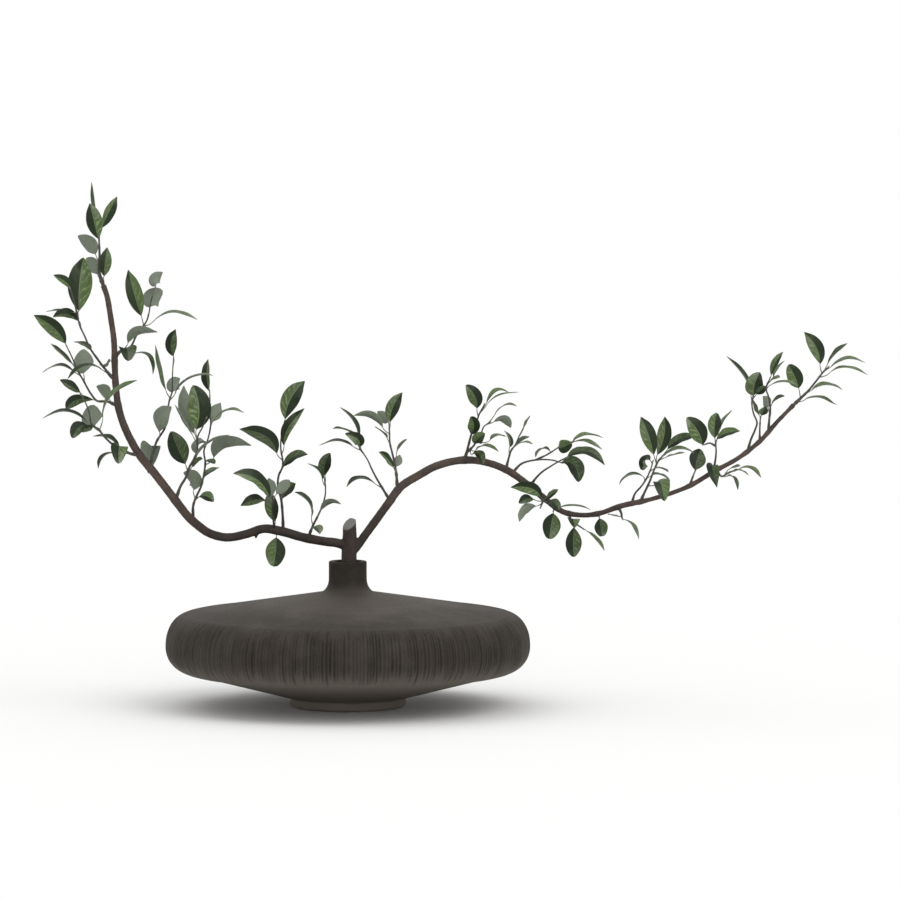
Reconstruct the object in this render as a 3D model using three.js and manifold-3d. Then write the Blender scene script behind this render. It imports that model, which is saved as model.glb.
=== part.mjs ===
// An ikebana arrangement: one forked evergreen cutting in a low, wide, narrow-necked stoneware vase.
// Millimetres, +Z up. The origin is the centre of the vase's foot, +X runs along the long right bough
// and -Y is the side it is looked at from. The vase is a hollow turned pot; the cutting is one piece of
// wood (stem, pruned stub, left bough, right bough) that stands on the vase's floor and is wedged in its
// neck by two slips of wood; each leafy sprig on the boughs is a solid of its own.
import * as THREE from "three";
import { mergeVertices } from "three/addons/utils/BufferGeometryUtils.js";
import Module from "manifold-3d";

const wasm = await Module();
wasm.setup();

// ---------------------------------------------------------------------------------------- vase sizes
const VASE_RADIUS = 200;
const VASE_HEIGHT = 160;
const VASE_WALL = 7;
const VASE_SIDES = 38;
const FOOT_RADIUS = 63.5;
const FOOT_HEIGHT = 10;
const FOOT_EDGE = 3;
const NECK_RADIUS = 20.8;
const NECK_WALL = 6;
const NECK_BOTTOM = 142;
const SHOULDER = { radius: 31.5, height: 125.5 }; // where the neck's sweep meets the upper cone
const BROW = { radius: 173, height: 102.3 }; // where the upper cone meets the rounded rim
const NOSE_HEIGHT = 67; // where the vase is widest
const KEEL = { radius: 168, height: 37.6 }; // where the rounded rim meets the lower cone
const INNER_FLOOR = [
  [KEEL.radius, KEEL.height + VASE_WALL],
  [FOOT_RADIUS - 6, FOOT_HEIGHT + VASE_WALL],
  [0, VASE_WALL],
];
const WATER_LEVEL = 60;
const WATER_GAP = 2.5;
const STEM_HOLE = 9.6;
const RIM_STEPS = 8;
const RIM_FULLNESS = 2.15; // exponent of the rim's rounding: 2 is an ellipse

// --------------------------------------------------------------------------------------- wood sizes
const GAP = 0.3; // between pieces that touch
const STEM_SIDES = 10;
const BOUGH_SIDES = 8;
const TWIG_SIDES = 5;
const TWIG_STEP = 16;
const BOUGH_STEP = 15;

// Each wood run is a list of [x, y, height, radius] along its centre line. Heights on the wood and in the
// sprigs are as they line up with the height scale for an eye a little above: what stands further back
// is that much lower.
const SIGHT_SLOPE = 0.08;
const STEM = [
  [0, 0, 9.1, 8.4],
  [0.5, 0, 60, 8.6],
  [1, 0, 120, 8.6],
  [1.3, 0, 158, 8.6],
  [1.6, 0, 172, 8.5],
  [2, 0, 184, 8.1],
  [2, 0, 201, 7.3],
];
const STUB_END = [2, 0, 216, 7]; // above the two cuts that the pruned top ends in
const STUB_CUTS = [
  { through: [2.2, 7, 207], facing: [-0.51, -0.69, 1] },
  { through: [2.2, 0, 207.6], facing: [0.26, 0, 1] },
];

const LEFT_BOUGH = [
  [1, 0, 176, 5.4],
  [-12, -2, 180, 5.2],
  [-25, -4, 181.5, 5],
  [-50, -10, 186.5, 5.1],
  [-75, -16, 193.5, 5],
  [-92, -20, 195.7, 4.9],
  [-110, -22, 190, 4.8],
  [-131, -26, 186.2, 4.8],
  [-150, -28, 190.5, 4.8],
  [-162, -30, 198.5, 4.8],
  [-175, -30, 210.5, 4.8],
  [-187, -30, 226, 4.7],
  [-200, -30, 243, 4.7],
  [-212, -28, 258.5, 4.6],
  [-226, -27, 275.5, 4.5],
  [-240, -22, 300, 4.3],
  [-249, -16, 324, 4.1],
  [-253, -9, 350, 3.7],
  [-254.5, -2, 376, 3.6],
  [-255.5, 4, 402, 3.4],
  [-259, 9, 426, 3.2],
  [-263, 14, 449, 3.1],
  [-267.5, 15, 463, 2.9],
];
const RIGHT_BOUGH = [
  [3, 0, 168, 5],
  [10, 2, 176, 4.9],
  [19, 3, 188.5, 4.7],
  [36.5, 8, 212.5, 4.6],
  [45.8, 10, 225.5, 4.6],
  [58, 15, 241.5, 4.6],
  [75, 21, 252.5, 4.5],
  [100, 27, 265.5, 4.4],
  [130, 32, 271, 4.2],
  [155, 30, 267.5, 4.1],
  [175, 26, 259.5, 4],
  [190, 20, 249.5, 3.9],
  [208, 12, 235, 3.7],
  [222, 4, 223.5, 3.4],
  [236, -3, 214, 3.1],
  [256, -10, 210.5, 2.8],
  [275, -16, 212.5, 2.9],
  [300, -22, 221, 3],
  [325, -27, 226.5, 2.7],
  [350, -28, 233.5, 2.6],
  [375, -27, 243.5, 2.7],
  [400, -24, 258.5, 2.7],
  [425, -18, 272, 2.6],
  [450, -10, 291, 2.6],
  [470, -3, 313, 2.4],
  [488, 4, 331.5, 2.2],
];
// Snapped-off side twigs on the wood: from a point inside the bough to the broken end.
const SPURS = [
  [
    [-98, -20, 193, 2.6],
    [-100.5, -22, 185, 0.9],
  ],
  [
    [264, -13, 211, 2],
    [268, -20, 213, 0.9],
  ],
];

const WEDGE_BOTTOM = 112;
const WEDGE_TOP = 149;
const WEDGE_REACH = 0.62; // half the angle that a wedge covers round the stem, in radians

// --------------------------------------------------------------------------------------- leaf sizes
const BLADE_THICK = 1.5;
const PETIOLE_RADIUS = 0.85;
const CLEAR_OF_HOST = 1.2; // a leaf stalk starts at least this far out of the bough's bark
const PETIOLE_BACK = 6; // a leaf stalk leaves its twig this far below the blade's base
const BLADE_STATIONS = [0.2, 0.5, 0.81]; // shares of the blade's length
const FOLD = 0.3; // how steeply each half of a blade rises from the midrib

// Where a blade's upper face looks. Two words joined by a dash: its base looks one way, its tip another.
const FACES = {
  front: [0.1, -1, 0.15],
  back: [0.1, 1, 0.15],
  up: [0, -0.12, 1],
  left: [-1, -0.3, 0.1],
  right: [1, -0.3, 0.1],
  upFront: [0.1, -0.75, 0.7],
  upBack: [0, 0.75, 0.75],
  upLeft: [-0.8, -0.25, 0.7],
  upRight: [0.8, -0.25, 0.7],
  frontLeft: [-0.8, -0.8, 0.1],
  frontRight: [0.8, -0.8, 0.1],
  backLeft: [-0.7, 0.8, 0.1],
  backRight: [0.7, 0.8, 0.1],
};

// ------------------------------------------------------------------------------------------- sprigs
// A sprig's twigs are runs of [x, z] seen from the front; the first grows from the bough and any other
// from the first. lean is how far a twig's end stands behind the wood it grows from (minus: in front).
// A leaf is [base x, z, middle x, z, tip x, z, depth, width, face]: depth is how far its tip stands
// behind the twig, and the middle is a point that the midrib passes through.
const SPRIGS = [
  {
    name: "sprig_left_01",
    girth: [1.7, 0.8],
    twigs: [
      { lean: 26, run: [[-43.5, 186], [-38, 199], [-33, 209], [-28.5, 219], [-25, 231], [-24.5, 241], [-26, 251]] },
    ],
    leaves: [
      [-25, 254, -25.5, 266, -19, 279, -8, 14, "front"],
      [-28, 250, -33, 260, -45, 267, 15, 12, "upRight"],
      [-30, 215, -20, 224.5, -7, 222, -12, 13, "upBack"],
      [-39.5, 209, -43, 225, -58, 236, -18, 14, "upRight"],
      [-38, 197, -33, 197, -30, 190, -30, 12, "upFront"],
    ],
  },
  {
    name: "sprig_left_02",
    girth: [1.9, 0.9],
    twigs: [
      {
        lean: -22,
        run: [[-70.5, 192], [-71, 212], [-72.5, 228], [-76, 242], [-75, 254], [-71, 263], [-70.5, 270], [-72.5, 283],
          [-72, 296], [-68.5, 312]],
      },
    ],
    leaves: [
      [-67.5, 316, -62, 338, -46, 357.5, 8, 20, "front"],
      [-69, 287, -64, 306, -45.5, 327.5, -20, 15, "frontLeft"],
      [-77, 278.5, -90, 297, -118, 304, 12, 20, "upFront"],
      [-69.5, 264, -58, 275, -43, 277, -15, 14, "upFront"],
      [-71, 229, -66, 239, -57, 245, 20, 12, "front"],
    ],
  },
  {
    name: "sprig_left_03",
    girth: [1.5, 1],
    twigs: [{ lean: -38, run: [[-80, 193], [-81, 206], [-82, 218], [-80, 229]] }],
    leaves: [
      [-84, 230, -99, 250, -124, 256.5, -15, 18, "upFront"],
      [-86, 224, -99, 227.5, -116, 221, -18, 14, "up-front"],
      [-79, 204, -83, 220, -85, 238, -12, 15, "front"],
      [-83, 230, -85, 241, -86, 251, 32, 15, "back"],
      [-77, 234, -70, 242, -62, 249, 12, 12, "back"],
    ],
  },
  {
    name: "leaf_left_hanging",
    girth: [1.5, 1.1],
    twigs: [{ lean: 14, run: [[-76, 194], [-77.5, 190]] }],
    leaves: [[-78, 186, -79, 171, -81, 154, -2, 22, "front"]],
  },
  {
    name: "sprig_left_04",
    girth: [1.8, 0.8],
    twigs: [
      {
        lean: 35,
        run: [[-168, 203], [-168.5, 220], [-165, 231], [-160, 242], [-157, 255], [-155.5, 268], [-157, 281],
          [-153, 293], [-150, 308], [-150.5, 325], [-151, 345]],
      },
    ],
    leaves: [
      [-151.5, 347, -154, 364, -152.5, 382, 10, 14, "frontLeft"],
      [-149, 313, -145, 324, -140, 334, 42, 15, "back"],
      [-147, 314, -131, 325.5, -113, 322, -10, 15, "up"],
      [-146, 274, -134, 290, -104, 286.5, -22, 20, "upBack"],
      [-153, 271.5, -149, 270, -144.5, 266.5, -20, 9, "upFront"],
      [-156, 253, -149, 259.5, -140, 262.5, 15, 12, "up"],
      [-168, 238.5, -168, 250, -180, 257, 28, 17, "back"],
      [-164, 229, -155, 232, -145.5, 225, -15, 13, "up-front"],
    ],
  },
  {
    name: "sprig_left_05",
    girth: [2, 0.9],
    twigs: [
      {
        lean: -34,
        run: [[-188, 226], [-182.3, 241.5], [-176, 252], [-173, 261], [-167, 272], [-163, 282], [-162.5, 296],
          [-157, 307], [-153, 316]],
      },
    ],
    leaves: [
      [-164, 304.5, -161, 328, -167, 352.5, -10, 27, "front"],
      [-166, 300, -176, 325, -178, 353, 20, 16, "back"],
      [-168, 298, -177, 317, -187, 332, -8, 13, "upLeft"],
      [-176.5, 267, -184, 284, -191.5, 302.5, -12, 22, "front"],
      [-165, 273, -150, 290, -127, 298, -18, 15, "up"],
      [-169, 263.5, -163, 269.5, -157, 272, -12, 9, "upFront"],
      [-163, 284, -163, 289, -161, 297, 45, 19, "back"],
    ],
  },
  {
    name: "sprig_left_06",
    girth: [1.9, 0.7],
    twigs: [
      {
        lean: 32,
        run: [[-217, 261], [-212, 279], [-208, 292], [-199.5, 306], [-197.5, 318], [-195, 335], [-192, 346],
          [-191.5, 365], [-190.5, 382]],
      },
    ],
    leaves: [
      [-190.5, 385, -193, 399, -187.5, 414.5, -8, 13, "front"],
      [-199, 348.5, -203, 370, -210, 398, 12, 15, "left"],
      [-191.5, 345.5, -190, 354, -184, 361, 40, 16, "back"],
      [-189, 343, -172, 360.5, -146, 364, -15, 15, "up"],
      [-205, 302, -206, 315, -192, 329, -32, 22, "backRight"],
      [-213, 281, -216, 284, -219, 255, 38, 22, "upBack-back"],
    ],
  },
  {
    name: "sprig_left_07",
    girth: [2, 0.8],
    twigs: [
      {
        lean: -32,
        run: [[-227, 275], [-238, 278.5], [-247, 283], [-256, 288.5], [-264, 296], [-271, 305], [-278, 310],
          [-280, 321], [-284, 333], [-289, 342]],
      },
    ],
    leaves: [
      [-290, 345, -300, 351.5, -312, 358, -12, 13, "upFront"],
      [-276, 307, -279, 318, -277, 331, 35, 24, "back"],
      [-266, 317, -256, 341, -227, 358, -20, 16, "upLeft"],
      [-283, 312, -306, 324, -332, 315.5, 8, 14, "up"],
      [-283, 309, -292, 306, -298, 294.5, -18, 15, "upFront"],
      [-277, 308, -283, 305, -287.5, 300.5, -22, 10, "upFront"],
      [-249, 284.5, -261, 295.5, -278, 296, 12, 12, "up"],
      [-247, 284, -248, 284, -248.5, 267, -28, 19, "upFront"],
      [-254, 278.5, -265, 275, -271.5, 261.5, -8, 12, "upLeft"],
    ],
  },
  {
    name: "sprig_left_08",
    girth: [1.9, 0.8],
    twigs: [
      {
        lean: 32,
        run: [[-251, 329], [-262, 335], [-274, 336], [-281, 344], [-289, 358], [-296, 370], [-302, 384], [-308, 396]],
      },
    ],
    leaves: [
      [-309, 399, -322, 416, -343.5, 430, -12, 17, "front"],
      [-300, 375, -312, 387, -325, 398.5, -10, 14, "upRight"],
      [-289, 366.5, -291, 380, -290, 394, 38, 23, "back"],
      [-300, 368.5, -317, 374.5, -335, 366.5, 10, 14, "up"],
      [-278, 337, -297, 336, -307, 325, -10, 14, "upFront"],
      [-262, 341, -266, 346, -275.5, 352, 28, 14, "upBack"],
    ],
  },
  {
    name: "sprig_left_09",
    girth: [1.9, 0.9],
    twigs: [
      { lean: -29, run: [[-254, 357], [-265, 371], [-273, 382], [-281, 394], [-286, 406], [-292, 420], [-293, 430]] },
      { lean: -14, run: [[-292, 425], [-296, 440], [-301, 458]] },
    ],
    leaves: [
      [-292, 434, -291, 463, -287, 492.5, 5, 27, "front"],
      [-301, 459, -307, 466, -319, 472, -10, 12, "upFront"],
      [-292, 423, -305, 430, -320, 427, -15, 14, "upFront"],
      [-297, 432, -314, 434.5, -329, 433, 20, 12, "up"],
      [-268, 370, -286, 373.5, -305, 359, -20, 15, "up"],
      [-265, 373, -264, 376, -258, 379, -18, 12, "upFront"],
      [-280, 391, -288, 398, -300, 400.5, 20, 12, "up"],
    ],
  },
  {
    name: "sprig_left_10",
    girth: [1.8, 0.8],
    twigs: [
      {
        lean: 22,
        run: [[-255, 379], [-249, 390], [-242, 393], [-237, 396], [-232, 406], [-227, 414], [-220.5, 423],
          [-217.5, 433], [-216, 443], [-211, 460]],
      },
    ],
    leaves: [
      [-211, 462.5, -211, 470, -203.5, 478, 28, 14, "back"],
      [-217, 439, -214, 449, -203, 457.5, 32, 21, "back"],
      [-226, 429.5, -233, 453, -240, 480, -10, 18, "front"],
      [-214, 422, -191, 433, -164, 424, -8, 17, "up"],
      [-240, 399.5, -229, 411, -207, 410, -15, 14, "upBack"],
      [-243, 391, -240, 392, -239, 379, -30, 20, "upFront"],
      [-233, 388, -218, 384.5, -212.5, 364.5, -12, 13, "upRight"],
    ],
  },
  {
    name: "sprig_left_top",
    girth: [2.5, 1],
    twigs: [{ lean: 3, run: [[-266.5, 461], [-272, 478], [-271.5, 495], [-272, 510], [-272, 524]] }],
    leaves: [
      [-273, 514, -277, 533, -281.5, 552.5, -10, 18, "front"],
      [-269, 526, -262, 543, -252.5, 560.5, 10, 15, "frontRight"],
      [-273, 530, -277, 553, -280, 577, 15, 12, "left"],
      [-276, 497, -283, 508, -296, 517.5, 15, 16, "back"],
      [-266.5, 473, -265, 488, -262.5, 504.5, -12, 14, "front"],
      [-274, 475, -279, 485, -288, 492, 20, 15, "back"],
    ],
  },
  {
    name: "sprig_right_01",
    girth: [1.8, 0.8],
    twigs: [{ lean: -29, run: [[45, 227], [38, 240], [31, 252], [26, 262], [22, 271], [13, 285]] }],
    leaves: [
      [30, 245, 13, 250.5, -1, 241, -10, 14, "up"],
      [6, 286, -12, 292, -31, 286, 12, 13, "up"],
      [13, 286, 11, 294, -3, 300, -15, 13, "front"],
      [12.5, 295, 6, 314, -9, 328.5, 10, 13, "upRight"],
      [8, 297, -2, 304, -16, 305.5, -18, 12, "up"],
    ],
  },
  {
    name: "sprig_right_02",
    girth: [2.1, 0.8],
    twigs: [{ lean: 22, run: [[54, 237], [53.5, 252], [52, 263], [49, 277], [46, 290], [45.5, 302], [45, 311]] }],
    leaves: [
      [46.5, 313, 49, 329, 60, 345.5, -8, 15, "front"],
      [44, 313, 39, 318, 32, 324.5, 22, 12, "back"],
      [38, 307, 26, 319.5, 6, 319.5, -12, 16, "upBack"],
      [43, 295, 37, 302, 28.5, 307.5, 18, 11, "upRight"],
      [50, 263, 43, 272.5, 34, 280, -18, 12, "upFront"],
      [53, 276, 57, 286, 65.5, 293.5, -10, 11, "upLeft"],
      [53, 264, 55, 271, 57, 277, 25, 10, "back"],
    ],
  },
  {
    name: "sprig_right_03",
    girth: [2, 0.8],
    twigs: [
      { lean: -19, run: [[128, 270], [131, 282], [133.5, 292], [136, 301], [141, 312], [143.5, 320], [149, 331]] },
      { lean: -22, run: [[130, 278], [138, 287], [146, 300], [149, 307.5], [155, 312]] },
    ],
    leaves: [
      [135, 299, 138, 309, 134, 319, -15, 14, "front"],
      [141.5, 328, 139, 341, 129, 353.5, -8, 16, "front"],
      [152, 334, 164, 347, 177, 344, 10, 12, "up"],
      [151, 330, 166, 342, 188, 344.5, -12, 12, "up"],
      [140, 289, 143, 295, 151, 300.5, -18, 13, "front"],
      [161, 321, 172, 331, 185, 329.5, -10, 13, "up"],
      [160, 313, 171, 315, 178.5, 306, 12, 12, "upBack"],
      [140, 281.5, 151, 286.5, 165.5, 280, -15, 12, "up"],
      [156, 293, 164, 298, 174, 296, 15, 10, "up"],
      [136, 277, 144, 277, 148, 264, -28, 11, "upFront"],
    ],
  },
  {
    name: "sprig_right_04",
    girth: [1.7, 0.7],
    twigs: [{ lean: 32, run: [[173, 260], [176.5, 273], [179, 281], [184, 288], [188, 297], [192, 305]] }],
    leaves: [
      [193, 306, 196.5, 313, 200.5, 320, 8, 8, "upLeft"],
      [177.5, 285, 177.5, 295, 171, 303.5, 15, 11, "upRight"],
      [186, 289, 193, 294, 200, 297, 18, 9, "up"],
      [186, 288, 194, 290.5, 202.5, 288, -10, 10, "up"],
    ],
  },
  {
    name: "sprig_right_05",
    girth: [1.7, 0.8],
    twigs: [
      { lean: 19, run: [[180, 256], [190, 266.5], [200, 270], [214, 271.5], [226, 270.5], [234, 268]] },
      { lean: 13, run: [[205, 270.5], [217, 276], [227, 282], [236, 288], [246, 291]] },
    ],
    leaves: [
      [235, 268.5, 249, 264.5, 253, 246.5, -5, 16, "upRight"],
      [222, 281, 213, 283, 206, 274, 12, 11, "up"],
      [231, 284.5, 237, 286, 246, 290, -18, 15, "front"],
      [247, 291.5, 262, 298.5, 281, 295, 14, 13, "up"],
      [246, 290, 262, 291, 279, 281.5, -12, 13, "up"],
    ],
  },
  {
    name: "sprig_right_06",
    girth: [1.7, 0.8],
    twigs: [{ lean: -32, run: [[199, 242], [207, 252], [213, 258], [222, 264], [231, 269.5], [239, 273.5]] }],
    leaves: [
      [241, 274.5, 262, 280.5, 281, 265, -12, 17, "upFront"],
      [241, 276, 251, 283, 262, 284, 10, 10, "up"],
    ],
  },
  {
    name: "sprig_right_07",
    girth: [1.6, 1],
    twigs: [{ lean: -26, run: [[215, 229], [213, 224], [211, 219]] }],
    leaves: [
      [212, 230, 200, 240, 178, 241, -10, 14, "front"],
      [205, 227, 197, 228.5, 187, 223.5, -15, 12, "up-front"],
      [206, 220.5, 194, 216, 188, 203, -10, 12, "backLeft"],
      [217, 229, 223, 233, 230.5, 239, -10, 9, "upFront"],
      [219, 225, 226, 224, 231, 215, -20, 12, "upFront"],
    ],
  },
  {
    name: "leaf_right_hanging_1",
    girth: [1.5, 1],
    twigs: [{ lean: 13, run: [[227, 219], [225.5, 215]] }],
    leaves: [
      [225, 212.5, 223, 199, 220.5, 184, -8, 20, "front"],
      [232, 219, 250, 220.5, 267, 216, 12, 9, "up"],
    ],
  },
  {
    name: "sprig_right_08",
    girth: [1.6, 0.9],
    twigs: [
      { lean: -10, run: [[242, 212], [244.5, 204], [247.5, 199]] },
      { lean: -5, run: [[245, 204], [251, 200], [257, 196]] },
    ],
    leaves: [
      [247.5, 197, 247, 181, 247.5, 164.5, 8, 18, "front"],
      [247, 203, 247, 206, 248, 197, -25, 14, "upFront"],
      [262, 193, 271, 184, 281, 171.5, -10, 12, "upRight"],
    ],
  },
  {
    name: "leaf_right_hanging_2",
    girth: [1.5, 1],
    twigs: [{ lean: 11, run: [[273, 212], [275, 209]] }],
    leaves: [[275.5, 207, 277, 198, 279, 187, 8, 15, "front"]],
  },
  {
    name: "sprig_right_09",
    girth: [1.7, 1],
    twigs: [{ lean: -8, run: [[296, 219], [299, 213], [300, 208]] }],
    leaves: [
      [301, 206, 311, 199.5, 318.5, 184, -10, 13, "upRight"],
      [297, 209, 291, 210, 284, 212, -15, 9, "up"],
    ],
  },
  {
    name: "sprig_right_10",
    girth: [1.8, 1],
    twigs: [{ lean: -19, run: [[320, 225], [325, 237], [330, 248], [334, 259], [339, 270], [343, 275]] }],
    leaves: [
      [334, 277, 328, 298, 319.5, 318.5, -10, 17, "front"],
      [338, 277, 345, 297, 346, 318.5, 10, 16, "front"],
      [349, 283, 362, 294, 379, 296, -10, 13, "upFront"],
      [345, 276, 362, 283, 379, 278.5, 12, 12, "up"],
      [347, 274, 357, 277, 368, 279, -18, 9, "up"],
      [338, 245, 342, 245, 345, 225.5, -25, 18, "upFront"],
    ],
  },
  {
    name: "sprig_right_11",
    girth: [1.6, 0.8],
    twigs: [{ lean: 26, run: [[311, 222], [314, 234], [321, 242], [327, 251], [332, 262], [334, 269]] }],
    leaves: [
      [322, 254, 308, 254, 297, 244, 10, 12, "up"],
      [331, 271, 326, 271, 323, 260, 15, 13, "upFront"],
      [332, 254, 343, 254.5, 353.5, 247, 12, 10, "up"],
      [336, 262, 344, 261.5, 351.5, 257, 20, 8, "up"],
    ],
  },
  {
    name: "sprig_right_12",
    girth: [1.7, 1],
    twigs: [{ lean: 16, run: [[375, 241], [377, 252], [380, 259]] }],
    leaves: [[380, 260, 382, 270, 386, 282, 32, 19, "front"]],
  },
  {
    name: "sprig_right_13",
    girth: [1.8, 0.9],
    twigs: [
      { lean: -22, run: [[400, 256], [401, 268], [402, 280], [401, 291]] },
      { lean: -8, run: [[401.5, 286], [395, 289.5], [389, 288]] },
    ],
    leaves: [
      [387, 288, 381, 303, 369, 317.5, -10, 20, "front"],
      [400.5, 295, 400, 309, 403, 322.5, 10, 15, "front"],
      [405, 303, 411, 315, 420.5, 325.5, 18, 10, "upLeft"],
      [403, 294, 413, 300.5, 427.5, 302.5, -12, 12, "upFront"],
      [399, 264, 398, 262, 402.5, 240.5, -25, 14, "upFront"],
    ],
  },
  {
    name: "sprig_right_14",
    girth: [1.6, 0.8],
    twigs: [{ lean: 16, run: [[403, 259], [409, 253], [417, 257.5], [425, 260]] }],
    leaves: [
      [422, 259, 430, 259.5, 439.5, 253.5, 12, 9, "up"],
      [427, 260.5, 440, 262, 451.5, 251, -10, 11, "up"],
      [414, 253, 422, 251, 425, 238, -12, 11, "upRight"],
      [417, 261, 423, 263, 430, 264.5, 18, 8, "upBack"],
    ],
  },
  {
    name: "sprig_right_15",
    girth: [1.7, 0.9],
    twigs: [{ lean: -22, run: [[438, 279], [440.5, 293], [445, 304], [447, 312], [443, 322], [441, 333], [442, 340]] }],
    leaves: [
      [440, 343, 432, 363, 413, 384.5, 12, 15, "upRight"],
      [443, 342, 443, 354, 449, 367, -25, 20, "front"],
      [446, 343, 451, 348, 456, 352, -22, 9, "front"],
    ],
  },
  {
    name: "sprig_right_16",
    girth: [1.6, 0.9],
    twigs: [{ lean: 22, run: [[452, 290], [451, 304], [452, 317]] }],
    leaves: [
      [451, 320, 448, 329, 443.5, 338, 10, 9, "left"],
      [453, 320, 455, 326, 456, 330, -18, 10, "front"],
    ],
  },
  {
    name: "sprig_right_17",
    girth: [1.7, 0.8],
    twigs: [{ lean: -13, run: [[461, 301], [461, 316], [462, 328], [460, 340], [457, 350], [461, 360]] }],
    leaves: [
      [460, 329, 458, 335, 455, 341, 28, 12, "back"],
      [463, 331, 469, 338, 477.5, 341, -10, 9, "upLeft"],
      [462.5, 364, 467, 377, 475.5, 389.5, -5, 10, "frontLeft"],
      [465, 362, 470, 371, 478, 380, 15, 9, "upLeft"],
      [461, 357, 466, 360, 472, 361, -18, 9, "upFront"],
      [460, 352, 475, 356.5, 491, 352, -15, 11, "up"],
    ],
  },
  {
    name: "sprig_right_top",
    girth: [2, 0.9],
    twigs: [{ lean: 5, run: [[487, 330.5], [497, 340], [505, 348], [513, 358], [520, 367], [525, 372]] }],
    leaves: [
      [493.5, 350, 489, 362, 481.5, 376, -10, 18, "front"],
      [499, 336.5, 516, 339.5, 534.5, 330, -10, 14, "up"],
      [508, 348, 525, 353.5, 542.5, 348, 15, 13, "up"],
      [517, 376.5, 513, 394, 499.5, 411.5, 5, 16, "front"],
      [525, 376, 534, 388, 547, 398.5, -12, 12, "upLeft"],
      [529, 373.5, 548, 382, 567, 377, 12, 13, "up"],
      [526, 365.5, 545, 372.5, 569, 363.5, -10, 13, "up"],
    ],
  },
];

// ----------------------------------------------------------------------------------------- materials
const material = (color, roughness) => new THREE.MeshStandardMaterial({ color, roughness, metalness: 0 });
const STONEWARE = material(0x3b3632, 0.75);
const BARK = material(0x4a3b38, 0.85);
const FOLIAGE = material(0x3f5233, 0.5);
const WATER = material(0x9fb0ae, 0.1);
const CUT_WOOD = material(0xa58a63, 0.8);

// ------------------------------------------------------------------------------------ shared helpers
// A closed three.js geometry as a solid that can be cut and joined.
function solidOf(geometry) {
  const bare = geometry.clone();
  for (const name of ["normal", "uv"]) bare.deleteAttribute(name);
  const merged = mergeVertices(bare, 1e-4);
  return new wasm.Manifold(
    new wasm.Mesh({
      numProp: 3,
      vertProperties: new Float32Array(merged.attributes.position.array),
      triVerts: new Uint32Array(merged.index.array),
    }),
  );
}

// A solid back as a named mesh.
function meshOf(name, solid, look) {
  const { numProp, numVert, vertProperties, triVerts } = solid.getMesh();
  const positions = new Float32Array(numVert * 3);
  for (let i = 0; i < numVert; i++) positions.set(vertProperties.subarray(i * numProp, i * numProp + 3), i * 3);
  const geometry = new THREE.BufferGeometry();
  geometry.setAttribute("position", new THREE.BufferAttribute(positions, 3));
  geometry.setIndex(new THREE.BufferAttribute(new Uint32Array(triVerts), 1));
  geometry.computeVertexNormals();
  const mesh = new THREE.Mesh(geometry, look);
  mesh.name = name;
  return mesh;
}

// A cylinder whose rings are moved to stations along a path, or a cone where its last ring is a point.
// place(ring, angle, onAxis) gives each vertex its place.
function ringed(sides, rings, pointed, place) {
  const geometry = new THREE.CylinderGeometry(pointed ? 0 : 1, 1, 1, sides, rings - 1);
  const position = geometry.attributes.position;
  for (let i = 0; i < position.count; i++) {
    const [x, y, z] = [position.getX(i), position.getY(i), position.getZ(i)];
    const ring = Math.round((y + 0.5) * (rings - 1));
    const onAxis = Math.hypot(x, z) < 1e-6;
    const angle = Math.round((Math.atan2(x, z) / (2 * Math.PI)) * sides) * ((2 * Math.PI) / sides);
    position.setXYZ(i, ...place(ring, angle, onAxis).toArray());
  }
  return solidOf(geometry);
}

// The section frame at a path's tangent: across and over are square to it and to each other.
function sectionFrame(tangent, over) {
  const up = over.clone().addScaledVector(tangent, -over.dot(tangent)).normalize();
  return { up, across: new THREE.Vector3().crossVectors(tangent, up).normalize() };
}

const placed = (x, y, height) => new THREE.Vector3(x, y, height - y * SIGHT_SLOPE);
const heightOf = (point) => point.z + point.y * SIGHT_SLOPE;
const gapTo = (point, x, height) => Math.hypot(point.x - x, heightOf(point) - height);

// A smooth wood run through [x, y, z, radius] points, its radius swelled by grow.
class WoodRun {
  constructor(points) {
    this.points = points;
    this.curve = new THREE.CatmullRomCurve3(
      points.map(([x, y, height]) => placed(x, y, height)),
      false,
      "centripetal",
    );
    this.samples = this.curve.getPoints(40 * points.length);
  }

  radiusAt(t) {
    const at = t * (this.points.length - 1);
    const i = Math.min(Math.floor(at), this.points.length - 2);
    return THREE.MathUtils.lerp(this.points[i][3], this.points[i + 1][3], at - i);
  }

  // The curve's parameter and point nearest to (x, z) as seen from the front.
  nearest(x, z) {
    let best = 0;
        this.samples.forEach((p, i) => {
      if (gapTo(p, x, z) < gapTo(this.samples[best], x, z)) best = i;
    });
    return { t: best / (this.samples.length - 1), point: this.samples[best].clone() };
  }

  // The parameter at which this run has come out of the host that it grows from.
  clearOf(host) {
    const steps = 60;
    for (let i = 0; i < steps; i++) {
      const point = this.curve.getPoint(i / steps);
      const near = host.samples.reduce((a, b) => (b.distanceTo(point) < a.distanceTo(point) ? b : a));
      if (near.distanceTo(point) > host.radiusAt(host.nearest(near.x, near.z).t) + CLEAR_OF_HOST) return i / steps;
    }
    return 1;
  }

  solid(sides, step, grow = 0) {
    const rings = Math.max(Math.min(this.points.length, 5), Math.round(this.curve.getLength() / step) + 1);
    const hint = new THREE.Vector3(0, 1, 0);
    return ringed(sides, rings, false, (ring, angle, onAxis) => {
      const t = ring / (rings - 1);
      const centre = this.curve.getPoint(t);
      if (onAxis) return centre;
      const { up, across } = sectionFrame(this.curve.getTangent(t), hint);
      const radius = this.radiusAt(t) + grow;
      return centre.addScaledVector(across, radius * Math.sin(angle)).addScaledVector(up, radius * Math.cos(angle));
    });
  }
}

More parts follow.
